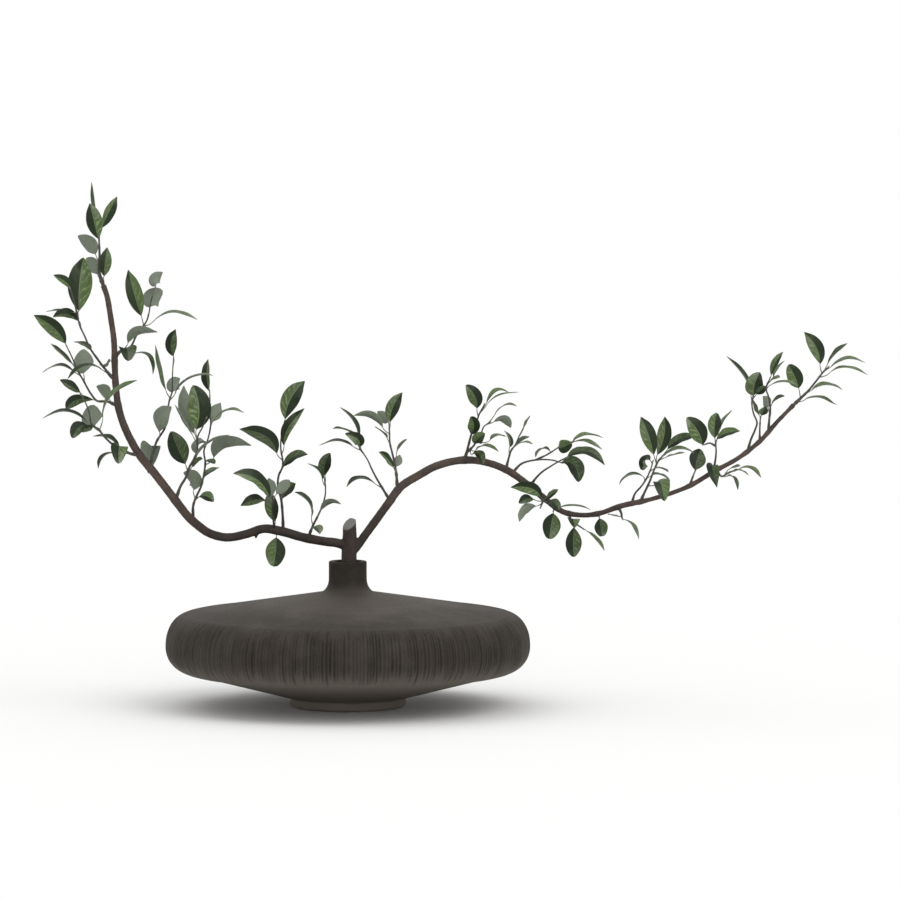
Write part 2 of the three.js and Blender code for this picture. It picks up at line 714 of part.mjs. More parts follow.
// ---------------------------------------------------------------------------------------------- vase
function vaseProfile() {
  const outer = [
    [0, 0],
    [FOOT_RADIUS - FOOT_EDGE, 0],
    [FOOT_RADIUS - 0.8, 1],
    [FOOT_RADIUS, FOOT_EDGE],
    [FOOT_RADIUS, FOOT_HEIGHT],
  ];
  const shape = (angle, brow) => {
    const end = angle < 0 ? KEEL : brow;
    const round = (v) => Math.abs(v) ** (2 / RIM_FULLNESS);
    return [
      end.radius + (VASE_RADIUS - end.radius) * round(Math.cos(angle)),
      NOSE_HEIGHT + (end.height - NOSE_HEIGHT) * round(Math.sin(angle)),
    ];
  };
  for (let i = 0; i <= RIM_STEPS; i++) outer.push(shape(-Math.PI / 2 + (Math.PI * i) / RIM_STEPS, BROW));
  outer.push([SHOULDER.radius, SHOULDER.height]);
  outer.push([NECK_RADIUS + 2.6, NECK_BOTTOM - 7], [NECK_RADIUS, NECK_BOTTOM]);
  outer.push([NECK_RADIUS, VASE_HEIGHT - 1], [NECK_RADIUS - 1, VASE_HEIGHT]);
  const bore = NECK_RADIUS - NECK_WALL;
  const inner = [
    [bore, VASE_HEIGHT],
    [bore, NECK_BOTTOM - 12],
    [bore + 8, SHOULDER.height - VASE_WALL - 4],
    [BROW.radius, BROW.height - VASE_WALL],
    [VASE_RADIUS - VASE_WALL, NOSE_HEIGHT],
    ...INNER_FLOOR,
  ];
  return [...outer, ...inner].map(([r, z]) => new THREE.Vector2(r, z));
}

// Water standing in the vase, a little clear of its wall, with a plain hole for the stem.
function waterSolid() {
  const [keel, slope, floor] = INNER_FLOOR;
  const foot = floor[1] + ((slope[1] - floor[1]) * STEM_HOLE) / slope[0] + 2 * GAP;
  const rise = (WATER_LEVEL - keel[1]) / (NOSE_HEIGHT - keel[1]);
  const profile = [
    [STEM_HOLE, foot],
    [slope[0] - WATER_GAP, slope[1] + GAP],
    [keel[0] - WATER_GAP, keel[1] + GAP],
    [keel[0] + (VASE_RADIUS - VASE_WALL - keel[0]) * rise - WATER_GAP, WATER_LEVEL],
    [STEM_HOLE, WATER_LEVEL],
    [STEM_HOLE, foot],
  ];
  const turned = new THREE.LatheGeometry(profile.map(([r, z]) => new THREE.Vector2(r, z)), VASE_SIDES);
  turned.rotateX(Math.PI / 2);
  return solidOf(turned);
}

function vaseSolid() {
  const turned = new THREE.LatheGeometry(vaseProfile(), VASE_SIDES);
  turned.rotateX(Math.PI / 2);
  return solidOf(turned);
}

// ---------------------------------------------------------------------------------------------- wood
const leftBough = new WoodRun(LEFT_BOUGH);
const rightBough = new WoodRun(RIGHT_BOUGH);
const stem = new WoodRun([...STEM, STUB_END]);

// The stem with its pruned top: whatever stands above either cut is taken off.
function stemSolid(grow) {
  return STUB_CUTS.reduce((wood, { through, facing }) => {
    const away = new THREE.Vector3(...facing).normalize().negate();
    return wood.trimByPlane(away.toArray(), away.dot(new THREE.Vector3(...through)));
  }, stem.solid(STEM_SIDES, BOUGH_STEP, grow));
}

function branchSolid(grow = 0) {
  return wasm.Manifold.union([
    stemSolid(grow),
    leftBough.solid(BOUGH_SIDES, BOUGH_STEP, grow),
    rightBough.solid(BOUGH_SIDES, BOUGH_STEP, grow),
    ...SPURS.map((points) => new WoodRun(points).solid(TWIG_SIDES, BOUGH_STEP, grow)),
  ]);
}

// A slip of wood pushed down between the stem and the neck: a bent wedge, thinner at its foot.
function wedgeSolid(side) {
  const rows = 4;
  const bore = NECK_RADIUS - NECK_WALL - GAP;
  const wall = (z) => {
    const at = stem.curve.getPoints(200).reduce((a, b) => (Math.abs(b.z - z) < Math.abs(a.z - z) ? b : a));
    return at.x;
  };
  const section = new THREE.Shape();
  const stemX = wall(WEDGE_TOP);
  const stemRadius = STEM[3][3] + GAP + 0.2;
  for (let i = 0; i <= rows; i++) {
    const angle = -WEDGE_REACH + (2 * WEDGE_REACH * i) / rows;
    const point = [side * bore * 0.985 * Math.cos(angle), bore * 0.985 * Math.sin(angle)];
    if (i === 0) section.moveTo(...point);
    else section.lineTo(...point);
  }
  for (let i = rows; i >= 0; i--) {
    const angle = -WEDGE_REACH + (2 * WEDGE_REACH * i) / rows;
    section.lineTo(stemX + side * stemRadius * 1.02 * Math.cos(angle), stemRadius * 1.02 * Math.sin(angle));
  }
  const slip = new THREE.ExtrudeGeometry(section, { depth: WEDGE_TOP - WEDGE_BOTTOM, bevelEnabled: false, steps: 1 });
  slip.translate(0, 0, WEDGE_BOTTOM);
  return solidOf(slip);
}

// -------------------------------------------------------------------------------------------- leaves
// Half a blade's width at share u of its length, for a blade 2 wide: broadest a little below the middle.
function bladeOutline(u) {
  return Math.sin(Math.PI * u ** 0.9) ** 0.64;
}

function faceVectors(word) {
  const words = word.split("-");
  return [words[0], words[words.length - 1]].map((w) => new THREE.Vector3(...FACES[w]));
}

// The nearest point of a sprig's twigs to a blade's base, taken PETIOLE_BACK towards the twig's foot.
function petioleRoot(twigs, x, z) {
  let best = null;
  for (const twig of twigs) {
    const found = twig.nearest(x, z);
    const distance = gapTo(found.point, x, z);
    if (!best || distance < best.distance) best = { twig, distance, t: found.t };
  }
  const back = PETIOLE_BACK / best.twig.curve.getLength();
  return best.twig.curve.getPoint(THREE.MathUtils.clamp(best.t - back, best.twig.outside, 0.98));
}

// One leaf: a stalk sunk in its twig and a blade folded along its midrib, with a four-cornered section.
function leafSolid(twigs, [baseX, baseZ, middleX, middleZ, tipX, tipZ, depth, width, face]) {
  const root = petioleRoot(twigs, baseX, baseZ);
  const base = placed(baseX, root.y + depth * 0.12, baseZ);
  const middle = placed(middleX, root.y + depth * 0.55, middleZ);
  const tip = placed(tipX, root.y + depth, tipZ);
  const bend = middle.clone().multiplyScalar(2).addScaledVector(base, -0.5).addScaledVector(tip, -0.5);
  const midrib = new THREE.QuadraticBezierCurve3(base, bend, tip);
  const [faceAtBase, faceAtTip] = faceVectors(face);
  const stalk = base.clone().sub(root).normalize();
  const stations = [
    { centre: root, tangent: stalk, half: PETIOLE_RADIUS, share: 0 },
    { centre: base, tangent: midrib.getTangent(0), half: PETIOLE_RADIUS * 1.3, share: 0 },
    ...BLADE_STATIONS.map((u) => ({
      centre: midrib.getPoint(u),
      tangent: midrib.getTangent(u),
      half: (width / 2) * bladeOutline(u),
      share: u,
    })),
    { centre: tip },
  ];
  return ringed(4, stations.length, true, (ring, angle, onAxis) => {
    const { centre, tangent, half, share } = stations[ring];
    if (onAxis) return centre.clone();
    const { up, across } = sectionFrame(tangent, faceAtBase.clone().lerp(faceAtTip, share));
    const side = Math.sin(angle);
    const over = Math.cos(angle);
    const rise = Math.abs(side) * Math.max(half - PETIOLE_RADIUS, 0) * FOLD + (over * BLADE_THICK) / 2;
    return centre.clone().addScaledVector(across, side * half).addScaledVector(up, rise);
  });
}

// The bough that a point lies on.
function hostOf(point) {
  const distance = (bough) => Math.min(...bough.samples.map((sample) => sample.distanceTo(point)));
  return distance(leftBough) < distance(rightBough) ? leftBough : rightBough;
}

function sprigSolid({ girth, twigs, leaves }, wood) {
  const grown = [];
  for (const { lean, run } of twigs) {
    const hosts = grown.length ? [grown[0]] : [leftBough, rightBough];
    const [footX, footZ] = run[0];
    const foot = hosts
      .map((host) => host.nearest(footX, footZ).point)
      .reduce((a, b) => (gapTo(b, footX, footZ) < gapTo(a, footX, footZ) ? b : a));
    const start = grown.length ? THREE.MathUtils.lerp(girth[0], girth[1], 0.5) : girth[0];
    const points = run.map(([x, z], i) => {
      const share = i / (run.length - 1);
      const radius = THREE.MathUtils.lerp(start, girth[1], share);
      return i ? [x, foot.y + lean * share, z, radius] : [foot.x, foot.y, heightOf(foot), radius];
    });
    const twig = new WoodRun(points);
    twig.outside = Math.min(twig.clearOf(grown[0] ?? (hosts.length > 1 ? hostOf(foot) : hosts[0])), 0.98);
    grown.push(twig);
  }
  const stalks = wasm.Manifold.union(grown.map((twig) => twig.solid(TWIG_SIDES, TWIG_STEP))).subtract(wood);
  return wasm.Manifold.union([stalks, ...leaves.map((leaf) => leafSolid(grown, leaf))]);
}

// ------------------------------------------------------------------------------------------ assembly
const arrangement = new THREE.Group();
arrangement.add(meshOf("vase", vaseSolid(), STONEWARE));
arrangement.add(meshOf("water", waterSolid(), WATER));
arrangement.add(meshOf("branch", branchSolid(), BARK));
arrangement.add(meshOf("wedge_left", wedgeSolid(-1), CUT_WOOD));
arrangement.add(meshOf("wedge_right", wedgeSolid(1), CUT_WOOD));
const grownWood = branchSolid(GAP);
for (const sprig of SPRIGS) arrangement.add(meshOf(sprig.name, sprigSolid(sprig, grownWood), FOLIAGE));

export default arrangement;
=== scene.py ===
"""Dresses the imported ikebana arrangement: a combed stoneware vase and a forked evergreen cutting.

Sizes in the tables are millimetres, as they are on the object; every finished mesh is in metres. The
vase, the branch and each leafy sprig get a fine piece that stands where their plain solid is.
"""

from __future__ import annotations

import logging
import math
import random
from dataclasses import dataclass, field
from enum import Enum
from typing import Callable, Sequence

import bmesh
import bpy
import numpy as np
from mathutils import Matrix, Vector, kdtree, noise


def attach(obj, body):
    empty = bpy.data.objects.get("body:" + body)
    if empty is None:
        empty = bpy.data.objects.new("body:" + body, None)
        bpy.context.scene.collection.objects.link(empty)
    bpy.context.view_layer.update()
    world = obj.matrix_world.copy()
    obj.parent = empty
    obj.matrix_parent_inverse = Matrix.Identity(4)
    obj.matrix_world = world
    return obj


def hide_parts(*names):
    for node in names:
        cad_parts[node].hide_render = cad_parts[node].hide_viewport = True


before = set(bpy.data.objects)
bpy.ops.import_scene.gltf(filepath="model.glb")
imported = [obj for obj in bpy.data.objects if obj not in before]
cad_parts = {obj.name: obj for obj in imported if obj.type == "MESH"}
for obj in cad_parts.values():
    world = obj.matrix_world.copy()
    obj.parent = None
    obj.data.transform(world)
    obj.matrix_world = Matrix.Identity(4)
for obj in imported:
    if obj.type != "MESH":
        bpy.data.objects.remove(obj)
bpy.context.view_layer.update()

log = logging.getLogger("ikebana")

MM = 0.001
BODY = "root"
SIGHT_SLOPE = 0.08  # what stands further back is listed that much too high in the tables below


class Slot(Enum):
    """The record's material slot names; each new piece is passed one, but nothing uses it."""

    STONEWARE = "stoneware"
    BARK = "bark"
    FOLIAGE = "foliage"


class Face(Enum):
    """Where the upper side of a leaf looks."""

    FRONT = (0.1, -1, 0.15)
    BACK = (0.1, 1, 0.15)
    UP = (0, -0.12, 1)
    LEFT = (-1, -0.3, 0.1)
    UP_FRONT = (0.1, -0.75, 0.7)
    UP_BACK = (0, 0.75, 0.75)
    UP_LEFT = (-0.8, -0.25, 0.7)
    UP_RIGHT = (0.8, -0.25, 0.7)
    FRONT_LEFT = (-0.8, -0.8, 0.1)
    FRONT_RIGHT = (0.8, -0.8, 0.1)
    BACK_LEFT = (-0.7, 0.8, 0.1)
    BACK_RIGHT = (0.7, 0.8, 0.1)


@dataclass(frozen=True)
class Twig:
    """A twig's course in (x, height) points, and how far its end stands behind its foot."""

    lean: float
    run: tuple[tuple[float, float], ...]


@dataclass(frozen=True)
class Sprig:
    """A leafy side shoot.

    girth is the radius of its twigs at foot and end. A leaf is (base x, height, middle x, height,
    tip x, height, depth of the tip behind the twig, width, face), with a second face word where its
    tip looks elsewhere, and -1 at the end where its half painted as lit is the other one.
    """

    name: str
    girth: tuple[float, float]
    twigs: tuple[Twig, ...]
    leaves: tuple[tuple, ...]


# Centre lines of the wood: (x, y, height, radius).
STEM = (
    (0, 0, 9.1, 8.4), (0.5, 0, 60, 8.6), (1, 0, 120, 8.6), (1.3, 0, 158, 8.6), (1.6, 0, 172, 8.5),
    (2, 0, 184, 8.1), (2, 0, 201, 7.3),
)
LEFT_BOUGH = (
    (1, 0, 176, 5.4), (-12, -2, 180, 5.2), (-25, -4, 181.5, 5), (-50, -10, 186.5, 5.1),
    (-75, -16, 193.5, 5), (-92, -20, 195.7, 4.9), (-110, -22, 190, 4.8), (-131, -26, 186.2, 4.8),
    (-150, -28, 190.5, 4.8), (-162, -30, 198.5, 4.8), (-175, -30, 210.5, 4.8), (-187, -30, 226, 4.7),
    (-200, -30, 243, 4.7), (-212, -28, 258.5, 4.6), (-226, -27, 275.5, 4.5), (-240, -22, 300, 4.3),
    (-249, -16, 324, 4.1), (-253, -9, 350, 3.7), (-254.5, -2, 376, 3.6), (-255.5, 4, 402, 3.4),
    (-259, 9, 426, 3.2), (-263, 14, 449, 3.1), (-267.5, 15, 463, 2.9),
)
RIGHT_BOUGH = (
    (3, 0, 168, 5), (10, 2, 176, 4.9), (19, 3, 188.5, 4.7), (36.5, 8, 212.5, 4.6),
    (45.8, 10, 225.5, 4.6), (58, 15, 241.5, 4.6), (75, 21, 252.5, 4.5), (100, 27, 265.5, 4.4),
    (130, 32, 271, 4.2), (155, 30, 267.5, 4.1), (175, 26, 259.5, 4), (190, 20, 249.5, 3.9),
    (208, 12, 235, 3.7), (222, 4, 223.5, 3.4), (236, -3, 214, 3.1), (256, -10, 210.5, 2.8),
    (275, -16, 212.5, 2.9), (300, -22, 221, 3), (325, -27, 226.5, 2.7), (350, -28, 233.5, 2.6),
    (375, -27, 243.5, 2.7), (400, -24, 258.5, 2.7), (425, -18, 272, 2.6), (450, -10, 291, 2.6),
    (470, -3, 313, 2.4), (488, 4, 331.5, 2.2),
)
SPURS = (
    ((-98, -20, 193, 2.6), (-100.5, -22, 185, 0.9)),
    ((264, -13, 211, 2), (268, -20, 213, 0.9)),
)
SPRIGS = (
    Sprig(
        "sprig_left_01",
        girth=(1.7, 0.8),
        twigs=(
            Twig(26, ((-43.5, 186), (-38, 199), (-33, 209), (-28.5, 219), (-25, 231), (-24.5, 241),
                (-26, 251))),
        ),
        leaves=(
            (-25, 254, -25.5, 266, -19, 279, -8, 14, "FRONT"),
            (-28, 250, -33, 260, -45, 267, 15, 12, "UP_RIGHT"),
            (-30, 215, -20, 224.5, -7, 222, -12, 9, "UP_BACK"),
            (-39.5, 209, -43, 225, -58, 236, -18, 14, "UP_RIGHT"),
            (-38, 197, -33, 197, -30, 190, -30, 12, "UP_FRONT"),
        ),
    ),
    Sprig(
        "sprig_left_02",
        girth=(1.9, 0.9),
        twigs=(
            Twig(-22, ((-70.5, 192), (-71, 212), (-72.5, 228), (-76, 242), (-75, 254), (-71, 263),
                (-70.5, 270), (-72.5, 283), (-72, 296), (-68.5, 312))),
        ),
        leaves=(
            (-67.5, 316, -62, 338, -46, 357.5, 8, 20, "FRONT"),
            (-69, 287, -64, 306, -45.5, 327.5, -20, 15, "FRONT_LEFT", -1),
            (-77, 278.5, -90, 297, -118, 304, 12, 20, "UP_FRONT"),
            (-69.5, 264, -58, 275, -43, 277, -15, 14, "UP_FRONT"),
            (-71, 229, -66, 239, -57, 245, 20, 12, "FRONT"),
        ),
    ),
    Sprig(
        "sprig_left_03",
        girth=(1.5, 1),
        twigs=(
            Twig(-38, ((-80, 193), (-81, 206), (-82, 218), (-80, 229))),
        ),
        leaves=(
            (-84, 230, -99, 250, -124, 256.5, -15, 18, "UP_FRONT"),
            (-86, 224, -99, 227.5, -116, 221, -18, 14, "UP FRONT"),
            (-79, 204, -83, 220, -85, 238, -12, 15, "FRONT"),
            (-83, 230, -85, 241, -86, 251, 32, 15, "BACK"),
            (-77, 234, -70, 242, -62, 249, 12, 12, "BACK"),
        ),
    ),
    Sprig(
        "leaf_left_hanging",
        girth=(1.5, 1.1),
        twigs=(
            Twig(14, ((-76, 194), (-77.5, 190))),
        ),
        leaves=(
            (-78, 186, -79, 171, -81, 154, -2, 22, "FRONT", -1),
        ),
    ),
    Sprig(
        "sprig_left_04",
        girth=(1.8, 0.8),
        twigs=(
            Twig(35, ((-168, 203), (-168.5, 220), (-165, 231), (-160, 242), (-157, 255),
                (-155.5, 268), (-157, 281), (-153, 293), (-150, 308), (-150.5, 325), (-151, 345))),
        ),
        leaves=(
            (-151.5, 347, -154, 364, -152.5, 382, 10, 14, "FRONT_LEFT", -1),
            (-149, 313, -145, 324, -140, 334, 42, 15, "BACK"),
            (-147, 314, -131, 325.5, -113, 322, -10, 15, "UP"),
            (-146, 274, -134, 290, -104, 286.5, -22, 20, "UP_BACK"),
            (-153, 271.5, -149, 270, -144.5, 266.5, -20, 9, "UP_FRONT"),
            (-156, 253, -149, 259.5, -140, 262.5, 15, 12, "UP"),
            (-168, 238.5, -168, 250, -180, 257, 28, 17, "BACK"),
            (-164, 229, -155, 232, -145.5, 225, -15, 13, "UP FRONT"),
        ),
    ),
    Sprig(
        "sprig_left_05",
        girth=(2, 0.9),
        twigs=(
            Twig(-34, ((-188, 226), (-182.3, 241.5), (-176, 252), (-173, 261), (-167, 272),
                (-163, 282), (-162.5, 296), (-157, 307), (-153, 316))),
        ),
        leaves=(
            (-164, 304.5, -161, 328, -167, 352.5, -10, 27, "FRONT"),
            (-166, 300, -176, 325, -178, 353, 20, 16, "BACK"),
            (-168, 298, -177, 317, -187, 332, -8, 13, "UP_LEFT"),
            (-176.5, 267, -184, 284, -191.5, 302.5, -12, 22, "FRONT", -1),
            (-165, 273, -150, 290, -127, 298, -18, 15, "UP"),
            (-169, 263.5, -163, 269.5, -157, 272, -12, 9, "UP_FRONT"),
            (-163, 284, -163, 289, -161, 297, 45, 19, "BACK"),
        ),
    ),
    Sprig(
        "sprig_left_06",
        girth=(1.9, 0.7),
        twigs=(
            Twig(32, ((-217, 261), (-212, 279), (-208, 292), (-199.5, 306), (-197.5, 318),
                (-195, 335), (-192, 346), (-191.5, 365), (-190.5, 382))),
        ),
        leaves=(
            (-190.5, 385, -193, 399, -187.5, 414.5, -8, 13, "FRONT", -1),
            (-199, 348.5, -203, 370, -210, 398, 12, 15, "LEFT"),
            (-191.5, 345.5, -190, 354, -184, 361, 40, 16, "BACK"),
            (-189, 343, -172, 360.5, -146, 364, -15, 15, "UP"),
            (-205, 302, -206, 315, -192, 329, -32, 22, "BACK_RIGHT"),
            (-213, 281, -216, 284, -219, 255, 38, 22, "UP_BACK BACK"),
        ),
    ),
    Sprig(
        "sprig_left_07",
        girth=(2, 0.8),
        twigs=(
            Twig(-32, ((-227, 275), (-238, 278.5), (-247, 283), (-256, 288.5), (-264, 296),
                (-271, 305), (-278, 310), (-280, 321), (-284, 333), (-289, 342))),
        ),
        leaves=(
            (-290, 345, -300, 351.5, -312, 358, -12, 13, "UP_FRONT"),
            (-276, 307, -279, 318, -277, 331, 35, 24, "BACK"),
            (-266, 317, -256, 341, -227, 358, -20, 16, "UP_LEFT"),
            (-283, 312, -306, 324, -332, 315.5, 8, 14, "UP"),
            (-283, 309, -292, 306, -298, 294.5, -18, 15, "UP_FRONT"),
            (-277, 308, -283, 305, -287.5, 300.5, -22, 10, "UP_FRONT"),
            (-249, 284.5, -261, 295.5, -278, 296, 12, 12, "UP"),
            (-247, 284, -248, 284, -248.5, 267, -28, 19, "UP_FRONT"),
            (-254, 278.5, -265, 275, -271.5, 261.5, -8, 12, "UP_LEFT"),
        ),
    ),
    Sprig(
        "sprig_left_08",
        girth=(1.9, 0.8),
        twigs=(
            Twig(32, ((-251, 329), (-262, 335), (-274, 336), (-281, 344), (-289, 358), (-296, 370),
                (-302, 384), (-308, 396))),
        ),
        leaves=(
            (-309, 399, -322, 416, -343.5, 430, -12, 17, "FRONT"),
            (-300, 375, -312, 387, -325, 398.5, -10, 14, "UP_RIGHT"),
            (-289, 366.5, -291, 380, -290, 394, 38, 23, "BACK"),
            (-300, 368.5, -317, 374.5, -335, 366.5, 10, 14, "UP"),
            (-278, 337, -297, 336, -307, 325, -10, 14, "UP_FRONT"),
            (-262, 341, -266, 346, -275.5, 352, 28, 15, "BACK"),
        ),
    ),
    Sprig(
        "sprig_left_09",
        girth=(1.9, 0.9),
        twigs=(
            Twig(-29, ((-254, 357), (-265, 371), (-273, 382), (-281, 394), (-286, 406),
                (-292, 420), (-293, 430))),
            Twig(-14, ((-292, 425), (-296, 440), (-301, 458))),
        ),
        leaves=(
            (-292, 434, -291, 463, -287, 492.5, 5, 27, "FRONT", -1),
            (-301, 459, -307, 466, -319, 472, -10, 12, "UP_FRONT"),
            (-292, 423, -305, 430, -320, 427, -15, 14, "UP_FRONT"),
            (-297, 432, -314, 434.5, -329, 433, 20, 12, "UP"),
            (-268, 370, -286, 373.5, -305, 359, -20, 15, "UP"),
            (-265, 373, -264, 376, -258, 379, -18, 12, "UP_FRONT"),
            (-280, 391, -288, 398, -300, 400.5, 20, 12, "UP"),
        ),
    ),
    Sprig(
        "sprig_left_10",
        girth=(1.8, 0.8),
        twigs=(
            Twig(22, ((-255, 379), (-249, 390), (-242, 393), (-237, 396), (-232, 406), (-227, 414),
                (-220.5, 423), (-217.5, 433), (-216, 443), (-211, 460))),
        ),
        leaves=(
            (-211, 462.5, -211, 470, -203.5, 478, 28, 14, "BACK"),
            (-217, 439, -214, 449, -203, 457.5, 32, 21, "BACK"),
            (-226, 429.5, -233, 453, -240, 480, -10, 18, "FRONT", -1),
            (-214, 422, -191, 433, -164, 424, -8, 17, "UP"),
            (-240, 399.5, -229, 411, -207, 410, -15, 14, "UP_BACK"),
            (-243, 391, -240, 392, -239, 379, -30, 20, "UP_FRONT"),
            (-233, 388, -218, 384.5, -212.5, 364.5, -12, 13, "UP_RIGHT"),
        ),
    ),
    Sprig(
        "sprig_left_top",
        girth=(2.5, 1),
        twigs=(
            Twig(3, ((-266.5, 461), (-272, 478), (-271.5, 495), (-272, 510), (-272, 524))),
        ),
        leaves=(
            (-273, 514, -277, 533, -281.5, 552.5, -10, 18, "FRONT", -1),
            (-269, 526, -262, 543, -252.5, 560.5, 10, 15, "FRONT_RIGHT"),
            (-273, 530, -277, 553, -280, 577, 15, 12, "LEFT"),
            (-276, 497, -283, 508, -296, 517.5, 15, 16, "BACK"),
            (-266.5, 473, -265, 488, -262.5, 504.5, -12, 14, "FRONT", -1),
            (-274, 475, -279, 485, -288, 492, 20, 15, "BACK"),
        ),
    ),
    Sprig(
        "sprig_right_01",
        girth=(1.8, 0.8),
        twigs=(
            Twig(-29, ((45, 227), (38, 240), (31, 252), (26, 262), (22, 271), (13, 285))),
        ),
        leaves=(
            (30, 245, 13, 250.5, -1, 241, -10, 14, "UP"),
            (6, 286, -12, 292, -31, 286, 12, 13, "UP"),
            (13, 286, 11, 294, -3, 300, -15, 13, "FRONT"),
            (12.5, 295, 6, 314, -9, 328.5, 10, 13, "UP_RIGHT"),
            (8, 297, -2, 304, -16, 305.5, -18, 12, "UP"),
        ),
    ),
    Sprig(
        "sprig_right_02",
        girth=(2.1, 0.8),
        twigs=(
            Twig(22, ((54, 237), (53.5, 252), (52, 263), (49, 277), (46, 290), (45.5, 302),
                (45, 311))),
        ),
        leaves=(
            (46.5, 313, 49, 329, 60, 345.5, -8, 15, "FRONT"),
            (44, 313, 39, 318, 32, 324.5, 22, 12, "BACK"),
            (38, 307, 26, 319.5, 6, 319.5, -12, 11, "UP_BACK"),
            (43, 295, 37, 302, 28.5, 307.5, 18, 11, "UP_RIGHT"),
            (50, 263, 43, 272.5, 34, 280, -18, 12, "UP_FRONT"),
            (53, 276, 57, 286, 65.5, 293.5, -10, 11, "UP_LEFT"),
            (53, 264, 55, 271, 57, 277, 25, 10, "BACK"),
        ),
    ),
    Sprig(
        "sprig_right_03",
        girth=(2, 0.8),
        twigs=(
            Twig(-19, ((128, 270), (131, 282), (133.5, 292), (136, 301), (141, 312), (143.5, 320),
                (149, 331))),
            Twig(-22, ((130, 278), (138, 287), (146, 300), (149, 307.5), (155, 312))),
        ),
        leaves=(
            (135, 299, 138, 309, 134, 319, -15, 14, "FRONT"),
            (141.5, 328, 139, 341, 129, 353.5, -8, 16, "FRONT"),
            (152, 334, 164, 347, 177, 344, 10, 12, "UP"),
            (151, 330, 166, 342, 188, 344.5, -12, 12, "UP"),
            (140, 289, 143, 295, 151, 300.5, -18, 13, "FRONT"),
            (161, 321, 172, 331, 185, 329.5, -10, 13, "UP"),
            (160, 313, 171, 315, 178.5, 306, 12, 12, "UP_BACK"),
            (140, 281.5, 151, 286.5, 165.5, 280, -15, 12, "UP"),
            (156, 293, 164, 298, 174, 296, 15, 10, "UP"),
            (136, 277, 144, 277, 148, 264, -28, 11, "UP_FRONT"),
        ),
    ),
    Sprig(
        "sprig_right_04",
        girth=(1.7, 0.7),
        twigs=(
            Twig(32, ((173, 260), (176.5, 273), (179, 281), (184, 288), (188, 297), (192, 305))),
        ),
        leaves=(
            (193, 306, 196.5, 313, 200.5, 320, 8, 8, "UP_LEFT"),
            (177.5, 285, 177.5, 295, 171, 303.5, 15, 11, "UP_RIGHT"),
            (186, 289, 193, 294, 200, 297, 18, 9, "UP"),
            (186, 288, 194, 290.5, 202.5, 288, -10, 10, "UP"),
        ),
    ),
    Sprig(
        "sprig_right_05",
        girth=(1.7, 0.8),
        twigs=(
            Twig(19, ((180, 256), (190, 266.5), (200, 270), (214, 271.5), (226, 270.5), (234, 268))),
            Twig(13, ((205, 270.5), (217, 276), (227, 282), (236, 288), (246, 291))),
        ),
        leaves=(
            (235, 268.5, 249, 264.5, 253, 246.5, -5, 18, "UP_FRONT FRONT"),
            (222, 281, 213, 283, 206, 274, 12, 11, "UP"),
            (231, 284.5, 237, 286, 246, 290, -18, 15, "FRONT"),
            (247, 291.5, 262, 298.5, 281, 295, 14, 13, "UP"),
            (246, 290, 262, 291, 279, 281.5, -12, 13, "UP"),
        ),
    ),
    Sprig(
        "sprig_right_06",
        girth=(1.7, 0.8),
        twigs=(
            Twig(-32, ((199, 242), (207, 252), (213, 258), (222, 264), (231, 269.5), (239, 273.5))),
        ),
        leaves=(
            (241, 274.5, 262, 280.5, 281, 265, -12, 12, "UP_FRONT"),
            (241, 276, 251, 283, 262, 284, 10, 10, "UP"),
        ),
    ),
    Sprig(
        "sprig_right_07",
        girth=(1.6, 1),
        twigs=(
            Twig(-26, ((215, 229), (213, 224), (211, 219))),
        ),
        leaves=(
            (212, 230, 200, 240, 178, 241, -10, 14, "FRONT"),
            (205, 227, 197, 228.5, 187, 223.5, -15, 12, "UP FRONT"),
            (206, 220.5, 194, 216, 188, 203, -10, 12, "BACK_LEFT"),
            (217, 229, 223, 233, 230.5, 239, -10, 9, "UP_FRONT"),
            (219, 225, 226, 224, 231, 215, -20, 12, "UP_FRONT"),
        ),
    ),
    Sprig(
        "leaf_right_hanging_1",
        girth=(1.5, 1),
        twigs=(
            Twig(13, ((227, 219), (225.5, 215))),
        ),
        leaves=(
            (225, 212.5, 223, 199, 220.5, 184, -8, 20, "FRONT"),
            (232, 219, 250, 220.5, 267, 216, 12, 9, "UP"),
        ),
    ),
    Sprig(
        "sprig_right_08",
        girth=(1.6, 0.9),
        twigs=(
            Twig(-10, ((242, 212), (244.5, 204), (247.5, 199))),
            Twig(-5, ((245, 204), (251, 200), (257, 196))),
        ),
        leaves=(
            (247.5, 197, 247, 181, 247.5, 164.5, 8, 18, "FRONT"),
            (247, 203, 247, 206, 248, 197, -25, 14, "UP_FRONT"),
            (262, 193, 271, 184, 281, 171.5, -10, 12, "UP_RIGHT"),
        ),
    ),
    Sprig(
        "leaf_right_hanging_2",
        girth=(1.5, 1),
        twigs=(
            Twig(11, ((273, 212), (275, 209))),
        ),
        leaves=(
            (275.5, 207, 277, 198, 279, 187, 8, 15, "FRONT"),
        ),
    ),
    Sprig(
        "sprig_right_09",
        girth=(1.7, 1),
        twigs=(
            Twig(-8, ((296, 219), (299, 213), (300, 208))),
        ),
        leaves=(
            (301, 206, 311, 199.5, 318.5, 184, -10, 13, "UP_RIGHT"),
            (297, 209, 291, 210, 284, 212, -15, 9, "UP"),
        ),
    ),
    Sprig(
        "sprig_right_10",
        girth=(1.8, 1),
        twigs=(
            Twig(-19, ((320, 225), (325, 237), (330, 248), (334, 259), (339, 270), (343, 275))),
        ),
        leaves=(
            (334, 277, 328, 298, 319.5, 318.5, -10, 17, "FRONT"),
            (338, 277, 345, 297, 346, 318.5, 10, 16, "FRONT"),
            (349, 283, 362, 294, 379, 296, -10, 13, "UP_FRONT"),
            (345, 276, 362, 283, 379, 278.5, 12, 12, "UP"),
            (347, 274, 357, 277, 368, 279, -18, 9, "UP"),
